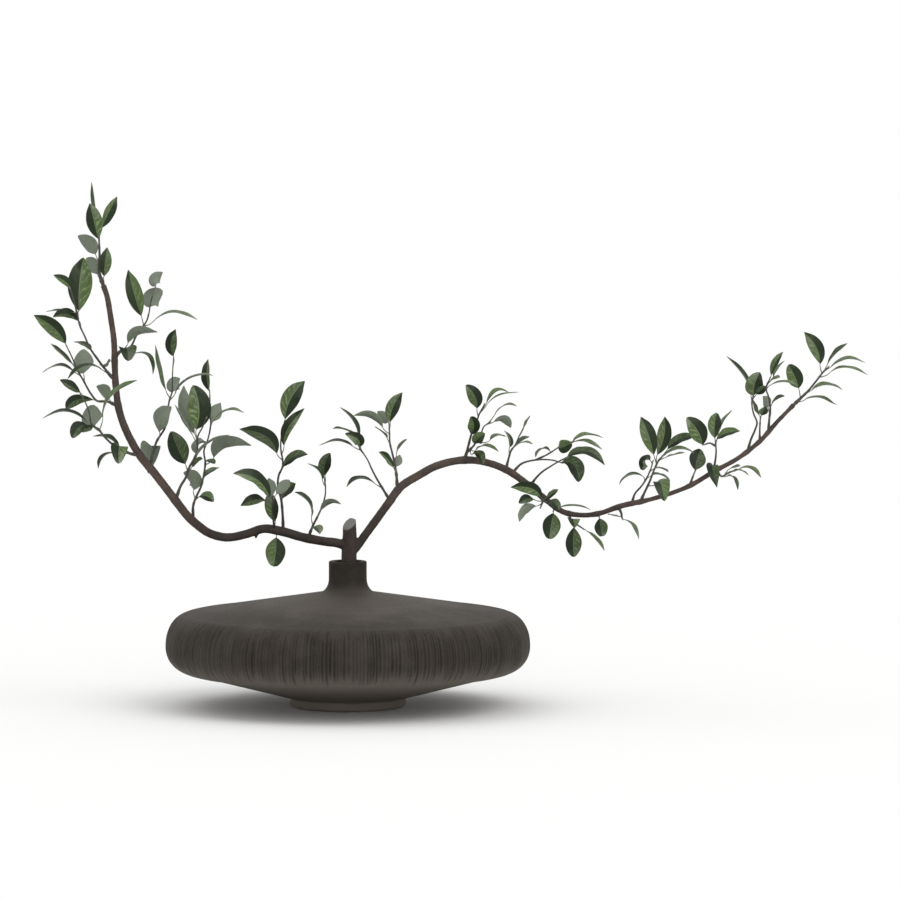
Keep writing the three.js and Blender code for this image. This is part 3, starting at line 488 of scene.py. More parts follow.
            (338, 245, 342, 245, 345, 225.5, -25, 18, "UP_FRONT"),
        ),
    ),
    Sprig(
        "sprig_right_11",
        girth=(1.6, 0.8),
        twigs=(
            Twig(26, ((311, 222), (314, 234), (321, 242), (327, 251), (332, 262), (334, 269))),
        ),
        leaves=(
            (322, 254, 308, 254, 297, 244, 10, 12, "UP"),
            (331, 271, 326, 271, 323, 260, 15, 13, "UP_FRONT"),
            (332, 254, 343, 254.5, 353.5, 247, 12, 10, "UP"),
            (336, 262, 344, 261.5, 351.5, 257, 20, 8, "UP"),
        ),
    ),
    Sprig(
        "sprig_right_12",
        girth=(1.7, 1),
        twigs=(
            Twig(16, ((375, 241), (377, 252), (380, 259))),
        ),
        leaves=(
            (380, 260, 382, 270, 386, 282, 32, 19, "FRONT", -1),
        ),
    ),
    Sprig(
        "sprig_right_13",
        girth=(1.8, 0.9),
        twigs=(
            Twig(-22, ((400, 256), (401, 268), (402, 280), (401, 291))),
            Twig(-8, ((401.5, 286), (395, 289.5), (389, 288))),
        ),
        leaves=(
            (387, 288, 381, 303, 369, 317.5, -10, 20, "FRONT"),
            (400.5, 295, 400, 309, 403, 322.5, 10, 15, "FRONT"),
            (405, 303, 411, 315, 420.5, 325.5, 18, 10, "UP_LEFT"),
            (403, 294, 413, 300.5, 427.5, 302.5, -12, 12, "UP_FRONT"),
            (399, 264, 398, 262, 402.5, 240.5, -25, 14, "UP_FRONT"),
        ),
    ),
    Sprig(
        "sprig_right_14",
        girth=(1.6, 0.8),
        twigs=(
            Twig(16, ((403, 259), (409, 253), (417, 257.5), (425, 260))),
        ),
        leaves=(
            (422, 259, 430, 259.5, 439.5, 253.5, 12, 9, "UP"),
            (427, 260.5, 440, 262, 451.5, 251, -10, 11, "UP"),
            (414, 253, 422, 251, 425, 238, -12, 11, "UP_RIGHT"),
            (417, 261, 423, 263, 430, 264.5, 18, 8, "UP_BACK"),
        ),
    ),
    Sprig(
        "sprig_right_15",
        girth=(1.7, 0.9),
        twigs=(
            Twig(-22, ((438, 279), (440.5, 293), (445, 304), (447, 312), (443, 322), (441, 333),
                (442, 340))),
        ),
        leaves=(
            (440, 343, 432, 363, 413, 384.5, 12, 15, "UP_RIGHT"),
            (443, 342, 443, 354, 449, 367, -25, 20, "FRONT"),
            (446, 343, 451, 348, 456, 352, -22, 9, "FRONT"),
        ),
    ),
    Sprig(
        "sprig_right_16",
        girth=(1.6, 0.9),
        twigs=(
            Twig(22, ((452, 290), (451, 304), (452, 317))),
        ),
        leaves=(
            (451, 320, 448, 329, 443.5, 338, 10, 9, "LEFT"),
            (453, 320, 455, 326, 456, 330, -18, 10, "FRONT"),
        ),
    ),
    Sprig(
        "sprig_right_17",
        girth=(1.7, 0.8),
        twigs=(
            Twig(-13, ((461, 301), (461, 316), (462, 328), (460, 340), (457, 350), (461, 360))),
        ),
        leaves=(
            (460, 329, 458, 335, 455, 341, 28, 12, "BACK"),
            (463, 331, 469, 338, 477.5, 341, -10, 9, "UP_LEFT"),
            (462.5, 364, 467, 377, 475.5, 389.5, -5, 10, "FRONT_LEFT"),
            (465, 362, 470, 371, 478, 380, 15, 9, "UP_LEFT"),
            (461, 357, 466, 360, 472, 361, -18, 9, "UP_FRONT"),
            (460, 352, 475, 356.5, 491, 352, -15, 11, "UP"),
        ),
    ),
    Sprig(
        "sprig_right_top",
        girth=(2, 0.9),
        twigs=(
            Twig(5, ((487, 330.5), (497, 340), (505, 348), (513, 358), (520, 367), (525, 372))),
        ),
        leaves=(
            (493.5, 350, 489, 362, 481.5, 376, -10, 18, "FRONT"),
            (499, 336.5, 516, 339.5, 534.5, 330, -10, 14, "UP"),
            (508, 348, 525, 353.5, 542.5, 348, 15, 13, "UP"),
            (517, 376.5, 513, 394, 499.5, 411.5, 5, 16, "FRONT"),
            (525, 376, 534, 388, 547, 398.5, -12, 12, "UP_LEFT"),
            (529, 373.5, 548, 382, 567, 377, 12, 13, "UP"),
            (526, 365.5, 545, 372.5, 569, 363.5, -10, 13, "UP"),
        ),
    ),
)


# ------------------------------------------------------------------------------------ shader helpers
class Value:
    """A shader socket that Python's operators join into Math nodes."""

    def __init__(self, shader: "Shader", socket: bpy.types.NodeSocket) -> None:
        """Wraps a socket.

        Args:
            shader: The material that the socket belongs to.
            socket: The output socket.
        """
        self.shader = shader
        self.socket = socket

    def maths(self, operation: str, *others: "Value | float") -> "Value":
        """Joins this value and others in one Math node.

        Args:
            operation: The Math node's operation.
            others: The other inputs, values or plain numbers.

        Returns:
            The node's result.
        """
        inputs = {i: v for i, v in enumerate((self, *others))}
        return self.shader.node("ShaderNodeMath", {"operation": operation}, inputs)

    def swapped(self, operation: str, other: float) -> "Value":
        """The same with a plain number first."""
        return self.shader.node("ShaderNodeMath", {"operation": operation}, {0: other, 1: self})

    def __add__(self, other: "Value | float") -> "Value":
        """Adds."""
        return self.maths("ADD", other)

    def __radd__(self, other: float) -> "Value":
        """Adds to a number."""
        return self.maths("ADD", other)

    def __sub__(self, other: "Value | float") -> "Value":
        """Subtracts."""
        return self.maths("SUBTRACT", other)

    def __rsub__(self, other: float) -> "Value":
        """Subtracts from a number."""
        return self.swapped("SUBTRACT", other)

    def __mul__(self, other: "Value | float") -> "Value":
        """Multiplies."""
        return self.maths("MULTIPLY", other)

    def __rmul__(self, other: float) -> "Value":
        """Multiplies a number."""
        return self.maths("MULTIPLY", other)

    def between(self, low: float, high: float) -> "Value":
        """A smooth step.

        Args:
            low: Where the result is 0.
            high: Where the result is 1; it may be the smaller of the two.

        Returns:
            The smooth share between them.
        """
        settings = {"interpolation_type": "SMOOTHSTEP"}
        inputs = {"Value": self, "From Min": low, "From Max": high, "To Min": 0.0, "To Max": 1.0}
        return self.shader.node("ShaderNodeMapRange", settings, inputs)


Triple = tuple[float, float, float]
Colour = Triple


class Shader:
    """A material under construction, ending in one Principled surface."""

    def __init__(self, name: str) -> None:
        """Starts an empty material.

        Args:
            name: The material's name.
        """
        self.material = bpy.data.materials.new(name)
        self.material.use_nodes = True
        self.tree = self.material.node_tree
        self.tree.nodes.clear()
        self.surface = self.tree.nodes.new("ShaderNodeBsdfPrincipled")
        output = self.tree.nodes.new("ShaderNodeOutputMaterial")
        self.tree.links.new(self.surface.outputs["BSDF"], output.inputs["Surface"])

    def node(self, kind: str, settings: dict, inputs: dict, output: int | str = 0) -> Value:
        """Adds one node.

        Args:
            kind: The node's type.
            settings: Its properties, set first.
            inputs: Values or links for its sockets, by name or number.
            output: Which output is returned.

        Returns:
            That output as a Value.
        """
        made = self.tree.nodes.new(kind)
        for key, setting in settings.items():
            setattr(made, key, setting)
        for key, value in inputs.items():
            self.plug(made.inputs[key], value)
        return Value(self, made.outputs[output])

    def plug(self, socket: bpy.types.NodeSocket, value: "Value | float | Colour") -> None:
        """Links or sets one socket.

        Args:
            socket: The input socket.
            value: A Value to link, or a number or colour to set.
        """
        if isinstance(value, Value):
            self.tree.links.new(value.socket, socket)
        elif isinstance(value, tuple) and len(value) == 3 and socket.type == "RGBA":
            socket.default_value = (*value, 1)
        else:
            socket.default_value = value

    def place(self) -> Value:
        """The point on the piece, in metres."""
        return self.node("ShaderNodeTexCoord", {}, {}, "Object")

    def axis(self, point: Value, letter: str) -> Value:
        """One coordinate of a point."""
        return self.node("ShaderNodeSeparateXYZ", {}, {0: point}, letter)

    def stretched(self, point: Value, scale: Triple) -> Value:
        """A point with its coordinates scaled."""
        return self.node("ShaderNodeMapping", {}, {"Vector": point, "Scale": scale})

    def grain(self, point: Value, scale: float, detail: float = 3, roughness: float = 0.55) -> Value:
        """Noise.

        Args:
            point: Where it is read.
            scale: Its cells per unit.
            detail: How many finer layers it has.
            roughness: How strong the finer layers are.

        Returns:
            A number about 0.5.
        """
        inputs = {"Vector": point, "Scale": scale, "Detail": detail, "Roughness": roughness}
        return self.node("ShaderNodeTexNoise", {}, inputs)

    def attribute(self, name: str) -> Value:
        """A number stored on the mesh."""
        return self.node("ShaderNodeAttribute", {"attribute_name": name}, {}, "Fac")

    def mix(self, share: "Value | float", first: "Value | Colour", second: "Value | Colour") -> Value:
        """Mixes two colours.

        Args:
            share: How much of the second one shows.
            first: The colour at 0.
            second: The colour at 1.

        Returns:
            The mixed colour.
        """
        return self.node("ShaderNodeMix", {"data_type": "RGBA"}, {0: share, 6: first, 7: second}, 2)

    def bump(self, height: Value, distance: float, strength: float = 1.0) -> None:
        """Feeds a height to the surface's normal.

        Args:
            height: The relief, from 0 to 1.
            distance: Its depth in metres.
            strength: How much of it is used.
        """
        inputs = {"Strength": strength, "Distance": distance, "Height": height}
        self.plug(self.surface.inputs["Normal"], self.node("ShaderNodeBump", {}, inputs))

    def finish(self, **inputs: "Value | float | Colour") -> bpy.types.Material:
        """Sets the surface's sockets.

        Args:
            inputs: Values by socket name, with _ for a blank.

        Returns:
            The finished material.
        """
        for key, value in inputs.items():
            self.plug(self.surface.inputs[key.replace("_", " ")], value)
        return self.material


# ----------------------------------------------------------------------------------------- finishes
@dataclass(frozen=True)
class Stoneware:
    """Matt fired clay: paler on the slopes, darker where it is combed, nearly black on the neck; the
    lower slope and the foot are painted paler as light from below.
    """

    pale: Colour = (0.073, 0.0618, 0.0502)
    dark: Colour = (0.018, 0.0132, 0.0095)
    # low and foot are painted light: the lower slope and the foot are painted paler to stand in for
    # light from below the pot.
    low: Colour = (0.160, 0.139, 0.115)
    foot: Colour = (0.195, 0.171, 0.143)
    neck: Colour = (0.0085, 0.0062, 0.0042)
    groove: Colour = (0.003, 0.0022, 0.0016)
    speck: Colour = (0.022, 0.018, 0.015)
    bloom: Colour = (0.105, 0.092, 0.078)
    chip: Colour = (0.14, 0.125, 0.10)
    underside_light_heights: tuple[float, float] = (0.07, 0.03)
    foot_light_heights: tuple[float, float] = (0.016, 0.009)
    band: tuple[float, float, float, float] = (0.034, 0.068, 0.103, 0.117)
    neck_foot: tuple[float, float] = (0.120, 0.140)
    band_wander: float = 0.014
    relief_depth: float = 0.0005
    gleam: float = 0.18

    def make(self) -> bpy.types.Material:
        """Returns the material."""
        s = Shader("stoneware")
        point = s.place()
        height = s.axis(point, "Z")
        cloud = s.grain(point, 24, 4)
        edge = height + (cloud - 0.5) * self.band_wander
        band = edge.between(self.band[0], self.band[1]) * edge.between(self.band[3], self.band[2])
        streak = s.grain(s.stretched(point, (1, 1, 0.05)), 330, 3, 0.7).between(0.38, 0.68)
        speckle = s.grain(point, 1500, 2).between(0.36, 0.66)
        fleck = s.grain(point, 620, 2, 0.3).between(0.66, 0.74)
        # Painted light from below: paler on the lower slope and paler still at the foot, against the
        # shade under the pot.
        colour = s.mix(height.between(*self.underside_light_heights), self.pale, self.low)
        colour = s.mix(height.between(*self.foot_light_heights), colour, self.foot)
        colour = s.mix(band * (streak * 0.16 + 0.62), colour, self.dark)
        grit = s.grain(point, 520, 2, 0.5).between(0.42, 0.60)
        colour = s.mix(band * grit * 0.10, colour, self.groove)
        colour = s.mix(s.attribute("groove") * (grit * 0.15 + 0.90), colour, self.groove)
        colour = s.mix(height.between(*self.neck_foot) * 0.92, colour, self.neck)
        turned = s.grain(s.stretched(point, (0, 0, 1)), 650, 3)
        colour = s.mix(turned.between(0.40, 0.62) * (1 - band) * 0.13, colour, self.dark)
        colour = s.mix(speckle * 0.22, colour, self.speck)
        colour = s.mix(cloud.between(0.42, 0.66) * 0.16, colour, self.bloom)
        colour = s.mix(fleck * 0.12, colour, self.chip)
        relief = s.grain(point, 900, 3) * 0.6 + s.grain(point, 150, 2) * 0.4 + turned * (1 - band) * 0.5
        s.bump(relief, self.relief_depth, 0.55)
        rough = s.grain(point, 300, 2) * 0.2 + 0.56
        return s.finish(Base_Color=colour, Roughness=rough, Specular_IOR_Level=self.gleam)


@dataclass(frozen=True)
class Bark:
    """Thin bark with pale pores and fine rings: darker low down, grey where it is cut."""

    name: str
    warm: Colour
    cool: Colour
    pore: Colour
    coarse: float = 1.0
    cut_shade: Colour = (0.125, 0.122, 0.112)
    cut_light: Colour = (0.215, 0.208, 0.190)
    darker_below: tuple[float, float] = (0.235, 0.190)
    relief_depth: float = 0.0006
    gleam: float = 0.3

    def make(self) -> bpy.types.Material:
        """Returns the material."""
        s = Shader(self.name)
        point = s.place()
        along = s.attribute("along")
        patch = s.grain(point, 95 * self.coarse, 4, 0.6)
        fine = s.grain(point, 900 * self.coarse, 3, 0.6)
        pores = s.grain(point, 700 * self.coarse, 1, 0.3).between(0.66, 0.73)
        wander = patch * 9 + along * 0.55
        ring = wander.maths("FRACT").between(0.16, 0.0) * s.grain(point, 160, 2).between(0.45, 0.6)
        colour = s.mix(patch.between(0.36, 0.64), self.cool, self.warm)
        colour = s.mix(fine.between(0.40, 0.70) * 0.35, colour, tuple(0.6 * c for c in self.cool))
        colour = s.mix(ring * 0.35, colour, self.pore)
        colour = s.mix(pores * 0.28, colour, self.pore)
        # Darker towards the bottom of the wood.
        low_down = s.axis(point, "Z").between(*self.darker_below)
        colour = s.mix(low_down * 0.62, colour, tuple(0.35 * c for c in self.cool))
        colour = s.mix(s.attribute("cut"), colour, s.mix(fine, self.cut_shade, self.cut_light))
        relief = fine * 0.5 + patch * 0.35 + pores * 0.35 + ring * 0.3
        s.bump(relief, self.relief_depth, 0.8)
        return s.finish(Base_Color=colour, Roughness=fine * 0.2 + 0.66, Specular_IOR_Level=self.gleam)


@dataclass(frozen=True)
class Blade:
    """A leaf's skin, painted along its midrib and side veins by its own UV map, with one half painted as
    lit and the other as shaded.
    """

    name: str
    # dark and bright: the blade's half painted as shaded and its half painted as lit.
    dark: Colour
    bright: Colour
    # streak: the pale veins, midrib and edge, and also painted highlights on the ridges.
    streak: Colour
    young: Colour
    # sheen: a painted gloss towards the tip.
    sheen: Colour
    gloss: float
    # How far the half painted as lit and the half painted as shaded differ.
    lit_shade_contrast: float
    vein_pairs: float = 7.0
    vein_slant: float = 1.3
    vein_wander: float = 1.7
    relief_depth: float = 0.0005
    gleam: float = 0.17

    def make(self) -> bpy.types.Material:
        """Returns the material."""
        s = Shader(self.name)
        point = s.place()
        chart = s.node("ShaderNodeUVMap", {"uv_map": "UVMap"}, {})
        wave = (s.grain(point, 95, 3) - 0.5) * self.vein_wander
        across = s.axis(chart, "Y") * 2 - 1
        span = across.maths("ABSOLUTE")
        rib = span.between(0.085, 0.02)
        pair = s.axis(chart, "X") * self.vein_pairs - span * self.vein_slant + wave
        saw = (pair.maths("FRACT") - 0.5).maths("ABSOLUTE")
        vein = saw.between(0.38, 0.5) * span.between(1.0, 0.7)
        ridge = saw.between(0.30, 0.06) * span.between(0.02, 0.16) * span.between(0.98, 0.62)
        # Painted light: one half of the blade is painted as lit and the other as shaded, as light falls
        # on a folded leaf.
        lit_half = across.between(-0.04, 0.05)
        mottle = s.grain(point, 230, 3, 0.6)
        patch = s.grain(point, 60, 2).between(0.4, 0.62)
        tint = s.attribute("tint")
        # Lightens the painted shaded half a little, more on some leaves than on others.
        shade = (1 - lit_half) * tint * 0.05
        share = lit_half * self.lit_shade_contrast + (1 - self.lit_shade_contrast) * 0.5 + shade
        colour = s.mix(share * (mottle * 0.5 + 0.65) * (patch * 0.25 + 0.75), self.dark, self.bright)
        # Painted highlights: the ridges between the side veins on the lit half are painted pale, as they
        # catch the light.
        lit = ridge * (lit_half * 0.95 + 0.05) * self.lit_shade_contrast * mottle.between(0.34, 0.60)
        colour = s.mix(lit * (patch * 0.35 + 0.55), colour, self.streak)
        colour = s.mix(vein * (1 - self.lit_shade_contrast) * 0.35, colour, self.streak)
        colour = s.mix(rib * 0.5, colour, self.streak)
        # Painted gloss: a pale grey-green sheen painted over the tip half, mostly on the lit half, in
        # place of highlights.
        tip = s.axis(chart, "X").between(0.45, 0.98)
        painted_gloss = s.grain(point, 48, 2).between(0.44, 0.60) * (tip * 0.8 + 0.12) * (lit_half * 0.8 + 0.2)
        colour = s.mix(painted_gloss * self.lit_shade_contrast, colour, self.sheen)
        colour = s.mix(span.between(0.94, 1.0) * 0.35, colour, self.streak)
        colour = s.mix(tint * (lit_half * 0.5 + 0.05), colour, self.young)
        colour = s.mix(tint.between(0.10, 0.0) * self.lit_shade_contrast * 0.55, colour, self.dark)
        relief = ridge * (lit_half * 0.6 + 0.25) - rib * 0.8 + mottle * 0.15
        s.bump(relief, self.relief_depth, 0.8)
        rough = mottle * 0.14 + self.gloss
        return s.finish(Base_Color=colour, Roughness=rough, Specular_IOR_Level=self.gleam)


@dataclass(frozen=True)
class Stalk:
    """Leaf stalks and buds: smooth, brownish green."""

    green: Colour = (0.115, 0.128, 0.095)
    brown: Colour = (0.16, 0.155, 0.125)

    def make(self) -> bpy.types.Material:
        """Returns the material."""
        s = Shader("leaf_stalk")
        grain = s.grain(s.place(), 420, 3)
        colour = s.mix(grain.between(0.35, 0.65), self.green, self.brown)
        return s.finish(Base_Color=colour, Roughness=grain * 0.2 + 0.45)


@dataclass(frozen=True)
class SplitWood:
    """Pale wood split along its grain."""

    late: Colour = (0.24, 0.15, 0.07)
    early: Colour = (0.46, 0.33, 0.18)
    relief_depth: float = 0.0004

    def make(self) -> bpy.types.Material:
        """Returns the material."""
        s = Shader("split_wood")
        fibre = s.grain(s.stretched(s.place(), (1, 1, 0.06)), 1400, 3)
        colour = s.mix(fibre.between(0.35, 0.65), self.late, self.early)
        s.bump(fibre, self.relief_depth, 0.8)
        return s.finish(Base_Color=colour, Roughness=fibre * 0.2 + 0.6)


@dataclass(frozen=True)
class StillWater:
    """Clear water, faintly green, with a surface that hardly moves."""

    deep: Colour = (0.80, 0.88, 0.86)
    clear: Colour = (0.86, 0.92, 0.90)
    relief_depth: float = 0.0008
    refraction: float = 1.333

    def make(self) -> bpy.types.Material:
        """Returns the material."""
        s = Shader("still_water")
        ripple = s.grain(s.place(), 30, 2)
        s.bump(ripple, self.relief_depth, 0.3)
        colour = s.mix(ripple.between(0.3, 0.7), self.deep, self.clear)
        return s.finish(Base_Color=colour, Roughness=0.03, IOR=self.refraction, Transmission_Weight=1.0)


class Finishes:
    """Every material of the arrangement, made once."""

    def __init__(self) -> None:
        """Makes them."""
        self.stoneware = Stoneware().make()
        self.bark = Bark(
            "bark",
            warm=(0.088, 0.059, 0.047),
            cool=(0.051, 0.039, 0.034),
            pore=(0.16, 0.132, 0.108),
        ).make()
        self.twig = Bark(
            "twig_bark",
            warm=(0.088, 0.078, 0.066),
            cool=(0.058, 0.055, 0.049),
            pore=(0.15, 0.14, 0.115),
            coarse=1.8,
        ).make()
        # The leaves' dark and bright are painted shade and painted light on the two halves of each
        # blade; streak also paints highlights on the ridges, and sheen paints gloss towards the tip.
        self.upper = Blade(
            "leaf_upper",
            dark=(0.009, 0.018, 0.007),
            bright=(0.088, 0.135, 0.046),
            streak=(0.26, 0.32, 0.17),
            young=(0.10, 0.158, 0.055),
            sheen=(0.25, 0.28, 0.205),
            gloss=0.36,
            lit_shade_contrast=0.95,
        ).make()
        self.under = Blade(
            "leaf_underside",
            dark=(0.140, 0.163, 0.128),
            bright=(0.195, 0.222, 0.172),
            streak=(0.26, 0.29, 0.23),
            young=(0.16, 0.20, 0.12),
            sheen=(0.25, 0.28, 0.22),
            gloss=0.60,
            lit_shade_contrast=0.3,
        ).make()
        self.stalk = Stalk().make()
        self.split_wood = SplitWood().make()
        self.water = StillWater().make()


# ------------------------------------------------------------------------------------- mesh helpers
def placed(x: float, y: float, height: float) -> Vector:
    """The point of a table entry, lowered by what it stands further back."""
    return Vector((x, y, height - y * SIGHT_SLOPE))


def height_of(point: Vector) -> float:
    """The height at which a point is listed."""
    return point.z + point.y * SIGHT_SLOPE


def gap_to(point: Vector, x: float, height: float) -> float:
    """How far a point lies from a listed (x, height), seen from the front."""
    return math.hypot(point.x - x, height_of(point) - height)


def section(tangent: Vector, over: Vector) -> tuple[Vector, Vector]:
    """Two directions square to a tangent.

    Args:
        tangent: The direction of a path.
        over: Roughly where the first direction points.

    Returns:
        The direction nearest to over, and the one square to both.
    """
    up = (over - tangent * over.dot(tangent)).normalized()
    return up, tangent.cross(up).normalized()


class Course:
    """A smooth wood run through (x, y, height, radius) points."""

    def __init__(self, points: Sequence[Sequence[float]]) -> None:
        """Lays the curve.

        Args:
            points: The run's points, in millimetres.
        """
        self.points = [placed(*p[:3]) for p in points]
        self.radii = [p[3] for p in points]
        count = 40 * len(points)
        self.samples = [self.at(i / count) for i in range(count + 1)]
        self.length = sum((b - a).length for a, b in zip(self.samples, self.samples[1:]))
        self.outside = 0.0

    def at(self, t: float) -> Vector:
        """A point of the centripetal curve through the listed points.

        Args:
            t: The share of the run, from 0 at its foot to 1 at its end.

        Returns:
            The point.
        """
        points = self.points
        where = min(max(t, 0.0), 1.0) * (len(points) - 1)
        i = min(int(where), len(points) - 2)
        w = where - i
        p1, p2 = points[i], points[i + 1]
        p0 = points[i - 1] if i else p1 * 2 - p2
        p3 = points[i + 2] if i + 2 < len(points) else p2 * 2 - p1
        d0, d1, d2 = (max((b - a).length, 1e-4) ** 0.5 for a, b in ((p0, p1), (p1, p2), (p2, p3)))
        m1 = ((p1 - p0) / d0 - (p2 - p0) / (d0 + d1) + (p2 - p1) / d1) * d1
        m2 = ((p2 - p1) / d1 - (p3 - p1) / (d1 + d2) + (p3 - p2) / d2) * d1
        cube = p1 * 2 - p2 * 2 + m1 + m2
        square = p2 * 3 - p1 * 3 - m1 * 2 - m2
        return ((cube * w + square) * w + m1) * w + p1

    def tangent(self, t: float) -> Vector:
        """The direction at share t."""
        step = 1e-3
        return (self.at(min(t + step, 1)) - self.at(max(t - step, 0))).normalized()

    def radius(self, t: float) -> float:
        """The listed radius.

        Args:
            t: The share of the run.

        Returns:
            The radius there, in millimetres.
        """
        where = min(max(t, 0.0), 1.0) * (len(self.radii) - 1)
        i = min(int(where), len(self.radii) - 2)
        return self.radii[i] + (self.radii[i + 1] - self.radii[i]) * (where - i)

    def nearest(self, x: float, height: float) -> tuple[float, Vector]:
        """The share and point that look nearest to (x, height) from the front."""
        best = min(range(len(self.samples)), key=lambda i: gap_to(self.samples[i], x, height))
        return best / (len(self.samples) - 1), self.samples[best].copy()

    def clear_of(self, host: "Course", margin: float = 1.2) -> float:
        """Finds where this run has come out of the wood that it grows from.

        Args:
            host: The run that it grows from.
            margin: How far outside the host's bark it has to be.

        Returns:
            The share of this run.
        """
        steps = 60
        last = len(host.samples) - 1
        for i in range(steps):
            point = self.at(i / steps)
            near = min(range(last + 1), key=lambda k: (host.samples[k] - point).length_squared)
            if (host.samples[near] - point).length > host.radius(near / last) + margin:
                return i / steps
        return 1.0

    def tube(
        self, mesh: bmesh.types.BMesh, sides: int, step: float, swell: Callable[[float], float]
    ) -> None:
        """Adds a closed tube along the run.

        Args:
            mesh: The mesh it is added to.
            sides: How many sides it has.
            step: The distance between its rings.
            swell: What the radius is multiplied by at a share of the run.
        """
        rings = max(4, round(self.length / step))

        def place(share: float, angle: float) -> Vector:
            """Places a vertex of the tube.

            Args:
                share: How far along the run it is.
                angle: Where it is round the run.

            Returns:
                The vertex.
            """
            up, across = section(self.tangent(share), Vector((0, 1, 0)))
            reach = self.radius(share) * swell(share)
            return self.at(share) + across * (reach * math.sin(angle)) + up * (reach * math.cos(angle))

        add_tube(mesh, sides, rings, place, self.length)


def add_tube(
    mesh: bmesh.types.BMesh,
    sides: int,
    rings: int,
    place: Callable[[float, float], Vector],
    stretch: float,
) -> list[bmesh.types.BMVert]:
    """Adds a cylinder cut into rings and bends it along a path.

    Args:
        mesh: The mesh it is added to.
        sides: How many sides it has.
        rings: How many stretches it has along the path.
        place: Gives a vertex its place from its share of the path and its angle.
        stretch: The path's length, stored in the along attribute.

    Returns:
        Its vertices.
    """
    along = mesh.verts.layers.float.get("along") or mesh.verts.layers.float.new("along")
    known = len(mesh.verts)
    made = bmesh.ops.create_cone(mesh, cap_ends=True, segments=sides, radius1=1, radius2=1, depth=1)
    edges = (e for v in made["verts"] for e in v.link_edges)
    walls = {e for e in edges if abs(e.verts[0].co.z - e.verts[1].co.z) > 0.5}
    bmesh.ops.subdivide_edges(mesh, edges=list(walls), cuts=rings - 1)
    mesh.verts.ensure_lookup_table()
    verts = mesh.verts[known:]
    for vert in verts:
        share = vert.co.z + 0.5
        vert[along] = share * stretch
        vert.co = place(share, math.atan2(vert.co.x, vert.co.y))
    return verts


def in_order(mesh: bmesh.types.BMesh) -> None:
    """Sorts the faces, because a spin or an extrusion leaves them in another order on each run.

    Args:
        mesh: A mesh that has just been spun or extruded.
    """

    def rank(face: bmesh.types.BMFace) -> int:
        """A face's place, by its first vertex and then by its last."""
        known = [vert.index for vert in face.verts]
        return min(known) * len(mesh.verts) + max(known)

    mesh.verts.index_update()
    mesh.faces.sort(key=rank)


def add_piece(
    name: str,
    mesh: bmesh.types.BMesh,
    materials: Sequence[bpy.types.Material],
    slot: Slot,
    stands_for: Sequence[str] = (),
    crease: float = 50.0,
) -> bpy.types.Object:
    """Turns a mesh in millimetres into a finished piece of the arrangement.

    Args:
        name: The piece's name.
        mesh: Its mesh, which is freed.
        materials: Its materials, in the order of its faces' numbers.
        slot: The record's material slot for the piece, passed on to dress.
        stands_for: The plain solids that it stands for.
        crease: Faces that meet at a sharper angle than this, in degrees, keep their edge.

    Returns:
        The piece.
    """
    bmesh.ops.scale(mesh, vec=(MM, MM, MM), verts=mesh.verts)
    data = bpy.data.meshes.new(name)
    mesh.to_mesh(data)
    mesh.free()
    piece = bpy.data.objects.new(name, data)
    bpy.context.scene.collection.objects.link(piece)
    dress(piece, materials, slot, stands_for, crease)
    return piece


def dress(
    piece: bpy.types.Object,
    materials: Sequence[bpy.types.Material],
    slot: Slot,
    stands_for: Sequence[str],
    crease: float,
) -> None:
    """Gives a piece its materials, shading and body, and hides the plain solids that it stands for.

    Args:
        piece: The piece.
        materials: Its materials.
        slot: The record's slot; not used.
        stands_for: The plain solids that it stands for.
        crease: The angle past which an edge stays sharp, in degrees.
    """
    data = piece.data
    for material in materials:
        data.materials.append(material)
    data.polygons.foreach_set("use_smooth", [True] * len(data.polygons))
    data.set_sharp_from_angle(angle=math.radians(crease))
    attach(piece, BODY)
    if stands_for:
        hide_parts(*stands_for)
    log.info("%s: %d faces", piece.name, len(data.polygons))


